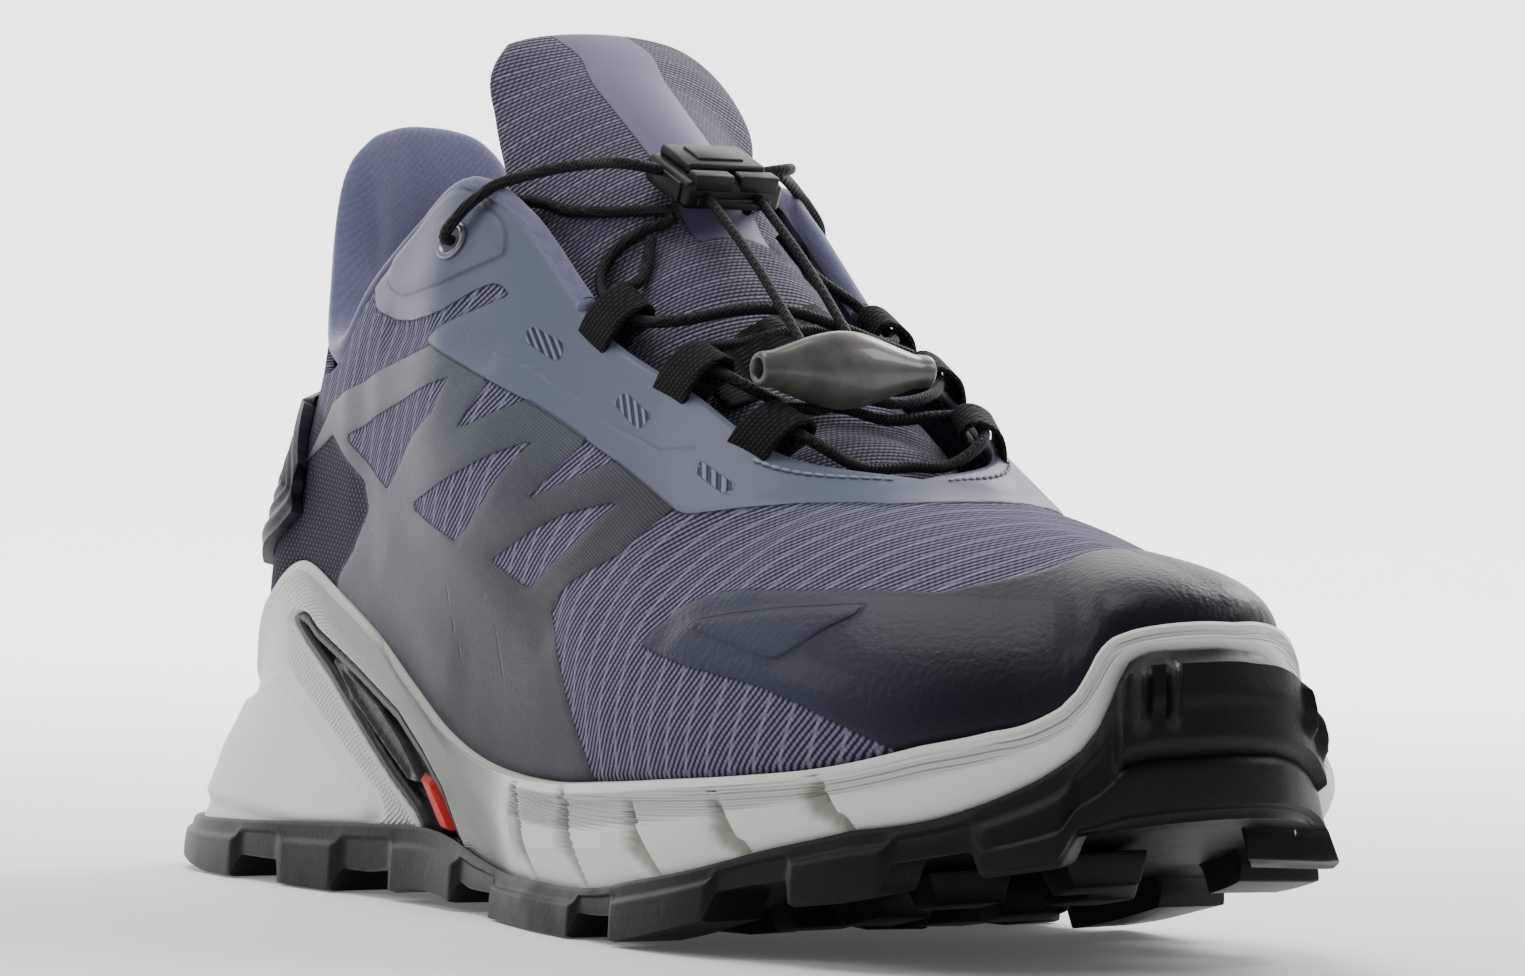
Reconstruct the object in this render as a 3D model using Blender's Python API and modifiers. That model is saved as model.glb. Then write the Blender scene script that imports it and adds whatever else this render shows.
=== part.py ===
import math

import bmesh
import bpy
from mathutils import Matrix, Vector

# Driving dimensions, in metres. The heel is at x = 0, the toe at +X, the outer side of the foot at -Y.
LENGTH = 0.300
BALL_WIDTH = 0.100
INSTEP_HEIGHT = 0.125
COLLAR_HEIGHT = 0.108
TAB_HEIGHT = 0.137
TOE_HEIGHT = 0.066
FOXING_HEIGHT = 0.058
FOOTBED_HEIGHT = 0.026
TONGUE_HEIGHT = 0.156
UPPER_WALL = 0.0020
FILM_THICKNESS = 0.0008
CLIP_THICKNESS = 0.0022
TONGUE_THICKNESS = 0.0045
COLLAR_PAD = 0.0065
INSOLE_THICKNESS = 0.0040
FOAM_LIP = 0.0022
SLOT_DEPTH = 0.0022
GROOVE_SIZE = 0.0052
RUBBER_THICKNESS = 0.0018
RUBBER_LIP = 0.0014
LUG_HEIGHT = 0.0045
LUG_LENGTH = 0.0120
LUG_WIDTH = 0.0150
LUG_TAPER = 0.78
LACE_DIAMETER = 0.0021
LOOP_WIDTH = 0.0085
LOOP_REACH = 0.0085
LOOP_THICKNESS = 0.0009
LOOP_RISE = 0.0031
EYELET_RADIUS = 0.0021
EYELET_WALL = 0.0004
EYELET_FLANGE = 0.0011
LOCK_LENGTH = 0.0150
LOCK_WIDTH = 0.0200
LOCK_DEPTH = 0.0065
TOGGLE_LENGTH = 0.0340
TOGGLE_DIAMETER = 0.0092
CLEARANCE = 0.0003

# How finely the surfaces are divided
STEPS = 2
RISE_STEPS = 5
TONGUE_STEPS = 6
CORD_STEP = 0.0045

HEIGHTS = {"collar": COLLAR_HEIGHT, "instep": INSTEP_HEIGHT, "toe": TOE_HEIGHT}

# Feather line, where the foam cup's edge meets the upper, heel centre to toe centre.
# x of LENGTH, outer and inner y of BALL_WIDTH, z of FOXING_HEIGHT, tuck of BALL_WIDTH,
# lean of the wall in degrees, lower handle as a share of the wall's height
FEATHER = [
    (0.030, -0.03, 0.03, 0.60, 0.050, 6, 0.34),
    (0.040, 0.09, 0.14, 0.60, 0.050, 6, 0.34),
    (0.064, 0.17, 0.22, 0.62, 0.050, 6, 0.34),
    (0.093, 0.23, 0.27, 0.68, 0.045, 6, 0.34),
    (0.130, 0.285, 0.305, 0.88, 0.050, 5, 0.34),
    (0.173, 0.30, 0.32, 1.00, 0.060, 4, 0.34),
    (0.233, 0.325, 0.34, 0.92, 0.070, 4, 0.34),
    (0.300, 0.355, 0.355, 0.80, 0.075, 4, 0.34),
    (0.357, 0.375, 0.36, 0.655, 0.075, 5, 0.34),
    (0.413, 0.395, 0.36, 0.525, 0.070, 7, 0.34),
    (0.477, 0.42, 0.365, 0.45, 0.060, 9, 0.34),
    (0.560, 0.455, 0.40, 0.43, 0.060, 10, 0.34),
    (0.633, 0.485, 0.44, 0.45, 0.060, 12, 0.36),
    (0.707, 0.50, 0.47, 0.48, 0.060, 14, 0.38),
    (0.773, 0.485, 0.47, 0.51, 0.060, 12, 0.34),
    (0.833, 0.44, 0.435, 0.55, 0.060, 10, 0.31),
    (0.880, 0.36, 0.355, 0.62, 0.070, 8, 0.28),
    (0.920, 0.25, 0.26, 0.71, 0.080, 6, 0.25),
    (0.948, 0.17, 0.17, 0.88, 0.100, 4, 0.22),
    (0.963, 0.07, 0.09, 0.95, 0.110, 3, 0.20),
    (0.968, -0.02, 0.02, 0.96, 0.110, 3, 0.20),
]

# Sole wall, where foam meets rubber, in the same rows: the heel's rows slant back as they rise.
# x of LENGTH, outer and inner y of BALL_WIDTH, outer and inner z of FOXING_HEIGHT,
# rubber's flare of BALL_WIDTH, how far the wall's middle stands out, of FOAM_LIP
SOLE = [
    (0.013, 0.00, 0.00, 0.165, 0.165, 0.022, -0.1),
    (0.027, 0.17, 0.155, 0.165, 0.165, 0.020, -0.1),
    (0.070, 0.335, 0.30, 0.165, 0.165, 0.012, -0.1),
    (0.160, 0.390, 0.350, 0.180, 0.180, 0.010, -0.3),
    (0.283, 0.39, 0.345, 0.210, 0.210, 0.008, -0.2),
    (0.387, 0.385, 0.335, 0.225, 0.225, 0.008, 0.6),
    (0.467, 0.42, 0.340, 0.165, 0.165, 0.008, 0.6),
    (0.507, 0.44, 0.350, 0.138, 0.138, 0.008, 0.6),
    (0.540, 0.465, 0.365, 0.138, 0.138, 0.008, 0.6),
    (0.570, 0.485, 0.38, 0.138, 0.138, 0.008, 0.6),
    (0.603, 0.50, 0.405, 0.138, 0.138, 0.008, 0.6),
    (0.647, 0.515, 0.435, 0.150, 0.150, 0.008, 0.6),
    (0.687, 0.52, 0.46, 0.185, 0.180, 0.008, 0.6),
    (0.740, 0.51, 0.470, 0.235, 0.220, 0.008, 0.6),
    (0.793, 0.475, 0.460, 0.305, 0.270, 0.010, 0.6),
    (0.847, 0.42, 0.425, 0.375, 0.320, 0.014, 0.6),
    (0.893, 0.34, 0.360, 0.470, 0.385, 0.020, 0.6),
    (0.933, 0.245, 0.265, 0.620, 0.490, 0.026, 0.6),
    (0.960, 0.16, 0.175, 0.81, 0.670, 0.032, 0.6),
    (0.977, 0.07, 0.09, 0.87, 0.830, 0.036, 0.6),
    (0.982, -0.02, 0.02, 0.88, 0.880, 0.038, 0.6),
]

# Top line: collar, throat and, from the throat's bottom on, the ridge of the toe box.
# x of LENGTH, outer and inner y of BALL_WIDTH, the height that z is a share of, z,
# rise of the wall on arrival in degrees, upper handle as a share of the wall's height
TOPLINE = [
    (0.088, -0.05, 0.05, "collar", 0.98, 84, 0.36),
    (0.090, 0.01, 0.13, "collar", 0.97, 84, 0.36),
    (0.097, 0.08, 0.19, "collar", 0.95, 84, 0.36),
    (0.110, 0.14, 0.235, "collar", 0.92, 84, 0.36),
    (0.130, 0.185, 0.27, "collar", 0.88, 84, 0.36),
    (0.157, 0.23, 0.295, "collar", 0.85, 84, 0.36),
    (0.195, 0.26, 0.315, "collar", 0.88, 82, 0.36),
    (0.240, 0.285, 0.330, "instep", 0.84, 80, 0.36),
    (0.297, 0.29, 0.350, "instep", 0.925, 76, 0.36),
    (0.347, 0.27, 0.370, "instep", 1.00, 66, 0.36),
    (0.400, 0.245, 0.345, "instep", 0.950, 58, 0.38),
    (0.487, 0.240, 0.325, "instep", 0.800, 48, 0.40),
    (0.573, 0.215, 0.295, "instep", 0.715, 40, 0.42),
    (0.643, 0.17, 0.245, "instep", 0.635, 28, 0.44),
    (0.680, -0.03, 0.03, "toe", 1.144, 3, 0.44),
    (0.720, -0.03, 0.03, "toe", 1.114, 3, 0.43),
    (0.763, -0.03, 0.03, "toe", 1.076, 5, 0.42),
    (0.807, -0.03, 0.03, "toe", 1.045, 8, 0.44),
    (0.840, -0.03, 0.03, "toe", 1.020, 9, 0.48),
    (0.860, -0.03, 0.03, "toe", 1.008, 9, 0.52),
    (0.868, -0.03, 0.03, "toe", 1.000, 9, 0.52),
]
THROAT_ROW = 14
CORNER_ROW = 9

# Collar roll and heel tab above the top line, same first rows.
# x of LENGTH, outer and inner y of BALL_WIDTH, z of TAB_HEIGHT, thickness of COLLAR_PAD,
# share of the wall's height where the lining ends below
COLLAR = [
    (0.088, -0.06, 0.06, 1.000, 0.95, 0.50),
    (0.089, 0.00, 0.14, 0.995, 0.95, 0.50),
    (0.094, 0.06, 0.20, 0.978, 0.95, 0.50),
    (0.104, 0.12, 0.245, 0.934, 1.00, 0.50),
    (0.123, 0.165, 0.275, 0.825, 1.00, 0.50),
    (0.152, 0.215, 0.30, 0.735, 0.95, 0.50),
    (0.192, 0.255, 0.315, 0.725, 0.90, 0.50),
    (0.240, 0.28, 0.325, 0.795, 0.80, 0.55),
    (0.297, 0.285, 0.345, 0.870, 0.60, 0.70),
    (0.343, 0.265, 0.365, 0.935, 0.35, 0.84),
]

# Underside of the rubber above the floor: x of LENGTH, z of LUG_HEIGHT
UNDERSIDE = [
    (0.00, 2.60), (0.05, 1.85), (0.10, 1.20), (0.13, 1.00), (0.16, 1.00), (0.28, 1.00), (0.32, 1.00), (0.38, 1.55),
    (0.42, 1.45), (0.46, 1.00), (0.50, 1.00), (0.63, 1.00), (0.66, 1.05), (0.70, 1.45), (0.74, 2.05),
    (0.78, 2.65), (0.84, 3.40), (0.90, 4.30), (0.95, 5.10), (1.00, 6.20),
]

# Footbed that carries the insole: x of LENGTH, z of FOOTBED_HEIGHT
FOOTBED = [
    (0.00, 1.00), (0.20, 0.98), (0.35, 0.92), (0.50, 0.76), (0.65, 0.62), (0.75, 0.63),
    (0.82, 0.80), (0.88, 0.95), (0.94, 1.12), (1.00, 1.36),
]

# Tongue: x of LENGTH, crown z of TONGUE_HEIGHT, half width, drop at the edge and middle of BALL_WIDTH
TONGUE = [
    (0.303, 0.985, 0.155, 0.010, 0.060),
    (0.313, 0.977, 0.220, 0.050, 0.065),
    (0.330, 0.960, 0.265, 0.110, 0.075),
    (0.353, 0.932, 0.258, 0.170, 0.053),
    (0.383, 0.892, 0.265, 0.250, 0.045),
    (0.423, 0.833, 0.270, 0.290, 0.045),
    (0.463, 0.767, 0.285, 0.310, 0.045),
    (0.500, 0.702, 0.300, 0.270, 0.045),
    (0.550, 0.622, 0.295, 0.200, 0.045),
    (0.590, 0.568, 0.280, 0.160, 0.040),
    (0.643, 0.506, 0.240, 0.120, 0.035),
    (0.680, 0.462, 0.200, 0.080, 0.030),
    (0.717, 0.440, 0.180, 0.060, 0.030),
]
TONGUE_BEND = 2.2

# Rows of lugs: x of LENGTH, how many across, turn in degrees
LUG_ROWS = [
    (0.055, 2, 30), (0.115, 3, 12), (0.175, 3, -12), (0.235, 3, 12), (0.295, 3, -12),
    (0.505, 3, 12), (0.565, 4, -12), (0.625, 4, 12), (0.685, 4, -12), (0.745, 4, 12),
    (0.805, 4, -12), (0.865, 3, 12), (0.922, 2, -8),
]

# Grooves in the foam at the ball: x of LENGTH at the middle of each
GROOVES = [0.553, 0.613, 0.688, 0.768, 0.848]

# Webbing loops: row of the top line that each stands at
LOOP_ROWS = {-1: [11.00, 11.85, 12.75], 1: [11.20, 11.95, 12.75]}

# Flat patterns of the films, seen from the side: x of LENGTH, z of INSTEP_HEIGHT
TOE_CAP = [
    (0.635, 0.405), (0.692, 0.466), (0.780, 0.486), (0.830, 0.530), (0.850, 0.62), (1.05, 0.62),
    (1.05, 0.20), (0.880, 0.285), (0.767, 0.355),
]
SIDE_FILM = [
    (0.175, 0.46), (0.205, 0.62), (0.235, 0.70), (0.255, 0.755), (0.345, 0.800), (0.372, 0.795),
    (0.430, 0.735), (0.520, 0.668), (0.610, 0.590), (0.627, 0.560), (0.505, 0.445), (0.510, 0.36),
    (0.545, 0.26), (0.575, 0.15), (0.30, 0.10), (0.19, 0.30),
]
FILM_WINDOWS = [
    [(0.275, 0.655), (0.385, 0.752), (0.322, 0.600)],
    [(0.350, 0.575), (0.490, 0.665), (0.402, 0.520)],
    [(0.442, 0.500), (0.578, 0.580), (0.488, 0.460)],
]
EYESTAY = [
    (0.262, 0.815), (0.300, 0.860), (0.345, 0.875), (0.405, 0.835), (0.470, 0.735), (0.550, 0.655),
    (0.630, 0.580), (0.668, 0.568), (0.735, 0.560), (0.735, 0.80), (0.560, 1.20), (0.262, 1.20),
]
HEEL_CLIP = [
    (-0.05, 0.445), (0.070, 0.445), (0.150, 0.505), (0.176, 0.560), (0.115, 0.700), (0.066, 0.765),
    (-0.05, 0.765),
]

# Slot in the foam, in rows of the sole wall: row, top of the slot as a share of the wall
SLOT = [(4.72, 0.74), (5.10, 0.84), (5.60, 0.83), (6.15, 0.70)]

COLOURS = {
    "rubber": ((0.018, 0.022, 0.030), 0.62, 0.0),
    "foam": ((0.74, 0.77, 0.71), 0.58, 0.0),
    "frame": ((0.022, 0.027, 0.038), 0.45, 0.0),
    "textile": ((0.13, 0.14, 0.22), 0.85, 0.0),
    "film": ((0.075, 0.095, 0.125), 0.50, 0.0),
    "eyestay": ((0.14, 0.17, 0.22), 0.55, 0.0),
    "lining": ((0.20, 0.21, 0.34), 0.92, 0.0),
    "knit": ((0.15, 0.16, 0.24), 0.90, 0.0),
    "lace": ((0.012, 0.012, 0.014), 0.75, 0.0),
    "metal": ((0.32, 0.33, 0.35), 0.32, 1.0),
    "toggle": ((0.16, 0.16, 0.14), 0.40, 0.0),
}


def start_collection(name):
    collection = bpy.data.collections.new(name)
    bpy.context.scene.collection.children.link(collection)
    return collection


for old in list(bpy.data.objects):
    bpy.data.objects.remove(old)
SHOE = start_collection("trail_running_shoe")
CUTTERS = start_collection("cutters")


def make_material(name):
    colour, rough, metal = COLOURS[name]
    material = bpy.data.materials.new(name)
    material.use_nodes = True
    shader = material.node_tree.nodes["Principled BSDF"]
    shader.inputs["Base Color"].default_value = (*colour, 1)
    shader.inputs["Roughness"].default_value = rough
    shader.inputs["Metallic"].default_value = metal
    return material


MATERIALS = {name: make_material(name) for name in COLOURS}


def add_piece(name, bm, material, smooth=40):
    mesh = bpy.data.meshes.new(name)
    bm.to_mesh(mesh)
    bm.free()
    mesh.materials.append(MATERIALS[material])
    mesh.shade_smooth()
    mesh.set_sharp_from_angle(angle=math.radians(smooth))
    piece = bpy.data.objects.new(name, mesh)
    SHOE.objects.link(piece)
    return piece


def add_cutter(name, bm):
    mesh = bpy.data.meshes.new(name)
    bm.to_mesh(mesh)
    bm.free()
    cutter = bpy.data.objects.new(name, mesh)
    cutter.hide_render = True
    cutter.display_type = "WIRE"
    CUTTERS.objects.link(cutter)
    return cutter


def cut(piece, cutter, how="DIFFERENCE", solver="EXACT"):
    boolean = piece.modifiers.new(cutter.name, "BOOLEAN")
    boolean.operation = how
    boolean.object = cutter
    boolean.solver = solver


def hermite(p0, p1, m0, m1, t):
    """Point at share t of the cubic from p0 to p1 with end slopes m0 and m1."""
    return (p0 * (2 * t**3 - 3 * t**2 + 1) + m0 * (t**3 - 2 * t**2 + t)
            + p1 * (3 * t**2 - 2 * t**3) + m1 * (t**3 - t**2))


def smooth_ring(points, steps, corners=()):
    """Closed smooth curve through the points. A corner keeps its two sides apart."""
    count = len(points)
    ring = []
    for i in range(count):
        p0, p1 = points[i], points[(i + 1) % count]
        m0 = (p1 - points[i - 1]) / 2
        m1 = (points[(i + 2) % count] - p0) / 2
        if i in corners:
            m0 = p1 - p0
        if (i + 1) % count in corners:
            m1 = p1 - p0
        ring += [hermite(p0, p1, m0, m1, s / steps) for s in range(steps)]
    return ring


def read(table, x):
    """Smooth value at x of a table whose rows are (x, value, ...)."""
    rows = [Vector(row) for row in table]
    x = min(max(x, rows[0][0]), rows[-1][0])
    i = max(k for k in range(len(rows) - 1) if rows[k][0] <= x)
    low, high = rows[i], rows[i + 1]
    before, after = rows[max(i - 1, 0)], rows[min(i + 2, len(rows) - 1)]
    span = high[0] - low[0]
    m0 = (high - before) / (high[0] - before[0]) * span
    m1 = (after - low) / (after[0] - low[0]) * span
    return hermite(low, high, m0, m1, (x - low[0]) / span)


def both_sides(table, make):
    """Points round the shoe: heel, outer side, toe, inner side."""
    outer = [make(row, -row[1]) for row in table]
    inner = [make(row, row[2]) for row in table[1:-1]]
    return outer + inner[::-1]


ROWS = len(FEATHER)
CORNERS = (THROAT_ROW, 2 * (ROWS - 1) - THROAT_ROW)


def feather_ring(steps):
    def make(row, y):
        return Vector((row[0] * LENGTH, y * BALL_WIDTH, row[3] * FOXING_HEIGHT))
    return smooth_ring(both_sides(FEATHER, make), steps)


def feather_shape(steps):
    """Tuck, lean and lower handle round the shoe."""
    return smooth_ring(both_sides(FEATHER, lambda r, y: Vector((r[4] * BALL_WIDTH, r[5], r[6]))), steps)


def top_ring(steps):
    def make(row, y):
        return Vector((row[0] * LENGTH, y * BALL_WIDTH, row[4] * HEIGHTS[row[3]]))
    return smooth_ring(both_sides(TOPLINE, make), steps, CORNERS)


def top_shape(steps):
    """Rise on arrival and upper handle round the shoe."""
    return smooth_ring(both_sides(TOPLINE, lambda r, y: Vector((r[5], r[6]))), steps, CORNERS)


def sole_ring(steps):
    def make(row, y):
        height = row[4] if y > 0 else row[3]
        return Vector((row[0] * LENGTH, y * BALL_WIDTH, height * FOXING_HEIGHT))
    return smooth_ring(both_sides(SOLE, make), steps)


def sole_shape(steps):
    """Flare of the rubber and swell of the foam's wall round the shoe."""
    return smooth_ring(both_sides(SOLE, lambda r, y: Vector((r[5] * BALL_WIDTH, r[6] * FOAM_LIP))), steps)


def outward(ring):
    """Level unit vectors that point out of a ring seen from above."""
    count = len(ring)
    out = []
    for i in range(count):
        way = ring[(i + 1) % count] - ring[i - 1]
        out.append(Vector((way.y, -way.x, 0)).normalized())
    return out


def underside(x):
    return max(read(UNDERSIDE, x / LENGTH)[1], 1.0) * LUG_HEIGHT


def footbed(x):
    return read(FOOTBED, x / LENGTH)[1] * FOOTBED_HEIGHT


def upper_grid(steps, rises):
    """Outer skin of the upper: for each place round the shoe the points from footbed to top line."""
    feather, top = feather_ring(steps), top_ring(steps)
    low, high = feather_shape(steps), top_shape(steps)
    out = outward(feather)
    grid = []
    for f, t, a, b, n in zip(feather, top, low, high, out):
        height = (t - f).length
        lean, rise = math.radians(a[1]), math.radians(b[0])
        handle = f + (Vector((0, 0, math.cos(lean))) + n * math.sin(lean)) * height * a[2]
        arrive = t - (Vector((0, 0, math.sin(rise))) - n * math.cos(rise)) * height * b[1]
        base = f - n * a[0]
        base.z = footbed(base.x) + CLEARANCE
        line = [base, f]
        for k in range(1, rises + 1):
            s = k / rises
            point = (f * (1 - s)**3 + handle * 3 * s * (1 - s)**2
                     + arrive * 3 * s**2 * (1 - s) + t * s**3)
            line.append(point)
        grid.append(line)
    return grid


def grid_normals(grid):
    """Unit vectors square to the grid, pointing out of the shoe."""
    count, depth = len(grid), len(grid[0])
    normals = []
    for i in range(count):
        line = []
        for k in range(depth):
            along = grid[(i + 1) % count][k] - grid[i - 1][k]
            up = grid[i][min(k + 1, depth - 1)] - grid[i][max(k - 1, 1 if k else 0)]
            line.append(along.cross(up).normalized())
        normals.append(line)
    for i in range(THROAT_ROW * STEPS, count // 2 + 1):
        ridge = (normals[i][-1] + normals[count - i][-1]).normalized()
        normals[i][-1] = normals[count - i][-1] = ridge
    return normals


GRID = upper_grid(STEPS, RISE_STEPS)
NORMALS = grid_normals(GRID)
COUNT = len(GRID)
HALF = COUNT // 2


def skin(bm, rings, closed=True, slant=0, last_slant=None):
    """Faces between rings of points, each ring as long as the next.

    Slant 0 makes four sided faces, slant 1 or -1 splits them along one diagonal or the other.
    """
    levels = [[bm.verts.new(p) for p in ring] for ring in rings]
    count = len(rings[0])
    last = count if closed else count - 1
    for number, (low, high) in enumerate(zip(levels, levels[1:]), 2):
        way = last_slant if last_slant is not None and number == len(levels) else slant
        for i in range(last):
            j = (i + 1) % count
            if way == 0:
                bm.faces.new((low[i], low[j], high[j], high[i]))
            elif way == 1:
                bm.faces.new((low[i], low[j], high[j]))
                bm.faces.new((low[i], high[j], high[i]))
            else:
                bm.faces.new((low[i], low[j], high[i]))
                bm.faces.new((low[j], high[j], high[i]))
    return levels


def ladder(bm, verts):
    """Closes a ring that runs round the shoe with rungs from its outer to its inner side."""
    count = len(verts)
    half = count // 2
    bm.faces.new((verts[0], verts[1], verts[count - 1]))
    for i in range(1, half - 1):
        bm.faces.new((verts[i], verts[i + 1], verts[count - i - 1], verts[count - i]))
    bm.faces.new((verts[half - 1], verts[half], verts[half + 1]))


def closed_stack(rings, last_slant=None):
    bm = bmesh.new()
    levels = skin(bm, rings, last_slant=last_slant)
    ladder(bm, levels[0])
    ladder(bm, levels[-1])
    bmesh.ops.recalc_face_normals(bm, faces=bm.faces)
    return bm


def side_prism(name, outline, side=0):
    """Cutter across the shoe from a pattern seen from the side. Side -1 or 1 keeps to one half."""
    bm = bmesh.new()
    start = -BALL_WIDTH if side < 1 else 0.0
    finish = BALL_WIDTH if side > -1 else 0.0
    verts = [bm.verts.new((x * LENGTH, start, z * INSTEP_HEIGHT)) for x, z in outline]
    face = bm.faces.new(verts)
    grown = bmesh.ops.extrude_face_region(bm, geom=[face])
    moved = [v for v in grown["geom"] if isinstance(v, bmesh.types.BMVert)]
    bmesh.ops.translate(bm, vec=(0, finish - start, 0), verts=moved)
    bmesh.ops.recalc_face_normals(bm, faces=bm.faces)
    return add_cutter(name, bm)


def make_upper():
    bm = bmesh.new()
    skin(bm, [list(ring) for ring in zip(*GRID)], slant=1)
    bmesh.ops.remove_doubles(bm, verts=bm.verts, dist=CLEARANCE / 10)
    bmesh.ops.recalc_face_normals(bm, faces=bm.faces)
    piece = add_piece("upper", bm, "textile")
    wall = piece.modifiers.new("wall", "SOLIDIFY")
    wall.thickness = UPPER_WALL
    wall.offset = -1
    wall.use_even_offset = False
    for side in (-1, 1):
        cut(piece, EYELET_HOLES[side])


FILM_START = 0.06


def film_patch(first, last, low, lift, thick):
    """Part of the upper's own skin, lifted and given a thickness."""
    bm = bmesh.new()
    span = [i % COUNT for i in range(first, last + 1)]
    rings = []
    for k in range(low, len(GRID[0])):
        rings.append([GRID[i][k] + NORMALS[i][k] * lift for i in span])
    rings[0] = [a.lerp(b, FILM_START) for a, b in zip(rings[0], rings[1])]
    skin(bm, rings, closed=False, slant=1)
    bmesh.ops.remove_doubles(bm, verts=bm.verts, dist=CLEARANCE / 10)
    bmesh.ops.solidify(bm, geom=bm.verts[:] + bm.edges[:] + bm.faces[:], thickness=-thick)
    bmesh.ops.recalc_face_normals(bm, faces=bm.faces)
    return bm


def row_index(row, side):
    """Place in the grid of a row of the tables, on the outer (-1) or inner (1) side."""
    step = round(row * STEPS)
    return step if side < 0 else COUNT - step


def surface_frame(row, share, side):
    """Point of the skin at a row and height share, with its normal and the way along the row line."""
    steps = 20
    ring = upper_grid(steps, RISE_STEPS * 2)
    count = len(ring)
    i = round(row * steps) if side < 0 else count - round(row * steps)
    k = 1 + round(share * RISE_STEPS * 2)
    point = ring[i][k]
    up = (ring[i][k] - ring[i][k - 1]).normalized()
    along = (ring[(i + 1) % count][k] - ring[i - 1][k]).normalized()
    normal = along.cross(up).normalized()
    return point, normal, up, along


def place(normal, along, point):
    """Matrix with its z along the normal and its x along the given way."""
    z = normal.normalized()
    y = z.cross(along).normalized()
    x = y.cross(z)
    turn = Matrix((x, y, z)).transposed().to_4x4()
    return Matrix.Translation(point) @ turn


EYELET_ROW = 9.2
EYELET_SHARE = 0.90
EYELETS = {side: surface_frame(EYELET_ROW, EYELET_SHARE, side) for side in (-1, 1)}


def eyelet_hole(side):
    point, normal, up, along = EYELETS[side]
    bm = bmesh.new()
    radius = EYELET_RADIUS + EYELET_WALL + CLEARANCE
    bmesh.ops.create_cone(bm, cap_ends=True, segments=16, radius1=radius, radius2=radius,
                          depth=UPPER_WALL * 6, matrix=place(normal, along, point))
    return add_cutter("eyelet_hole_" + SIDE_NAME[side], bm)


SIDE_NAME = {-1: "lateral", 1: "medial"}
EYELET_HOLES = {side: eyelet_hole(side) for side in (-1, 1)}


def make_films():
    toe_rows = row_index(10, -1), row_index(10, 1)
    bm = film_patch(toe_rows[0], toe_rows[1], 1, CLEARANCE, FILM_THICKNESS)
    cap = add_piece("toe_cap", bm, "film")
    cut(cap, side_prism("toe_cap_pattern", TOE_CAP), "INTERSECT")
    for side in (-1, 1):
        name = SIDE_NAME[side]
        ends = sorted((row_index(2, side), row_index(13, side)))
        bm = film_patch(ends[0], ends[1], 1, CLEARANCE, FILM_THICKNESS)
        film = add_piece("side_film_" + name, bm, "film")
        cut(film, side_prism("side_film_pattern_" + name, SIDE_FILM), "INTERSECT")
        for number, window in enumerate(FILM_WINDOWS, 1):
            cut(film, side_prism(f"film_window_{name}_{number}", window))
    bm = film_patch(row_index(6, -1), row_index(6, 1), 2, CLEARANCE, FILM_THICKNESS)
    stay = add_piece("eyestay", bm, "eyestay")
    cut(stay, side_prism("eyestay_pattern", EYESTAY), "INTERSECT")
    for side in (-1, 1):
        cut(stay, EYELET_HOLES[side])


def make_heel_clip():
    bm = film_patch(row_index(5, 1), row_index(5, -1) + COUNT, 1, CLEARANCE, CLIP_THICKNESS)
    clip = add_piece("heel_clip", bm, "frame")
    cut(clip, side_prism("heel_clip_pattern", HEEL_CLIP), "INTERSECT")


def wall_rings(steps):
    """Rings of the foam's side wall, from the rubber's edge to the lip at the upper."""
    low, top = sole_ring(steps), feather_ring(steps)
    out_low, out_top = outward(low), outward(top)
    shares = (0.0, 0.25, 0.5, 0.75, 1.0)
    rings = []
    for s in shares:
        ring = []
        for p, f, n, m, more in zip(low, top, out_low, out_top, sole_shape(steps)):
            swell = (n + m).normalized() * math.sin(math.pi * s) * more[1]
            ring.append(p * (1 - s) + (f + m * FOAM_LIP) * s + swell)
        rings.append(ring)
    return rings


WALL = wall_rings(STEPS)


def wall_point(row, share, side, offset=0.0):
    """Point of the foam's wall between the rows of the tables, moved out by the offset."""
    place_in_ring = row * STEPS if side < 0 else COUNT - row * STEPS
    i = math.floor(place_in_ring)
    u = place_in_ring - i
    level = min(max(share, 0.0), 1.0) * (len(WALL) - 1)
    k = min(int(level), len(WALL) - 2)
    v = level - k
    a, b = WALL[k][i % COUNT], WALL[k][(i + 1) % COUNT]
    c, d = WALL[k + 1][i % COUNT], WALL[k + 1][(i + 1) % COUNT]
    point = (a * (1 - u) + b * u) * (1 - v) + (c * (1 - u) + d * u) * v
    normal = (b - a + d - c).cross(c - a + d - b).normalized()
    if share < 0:
        point = point + Vector((0, 0, share * FOXING_HEIGHT))
    return point + normal * offset


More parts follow.
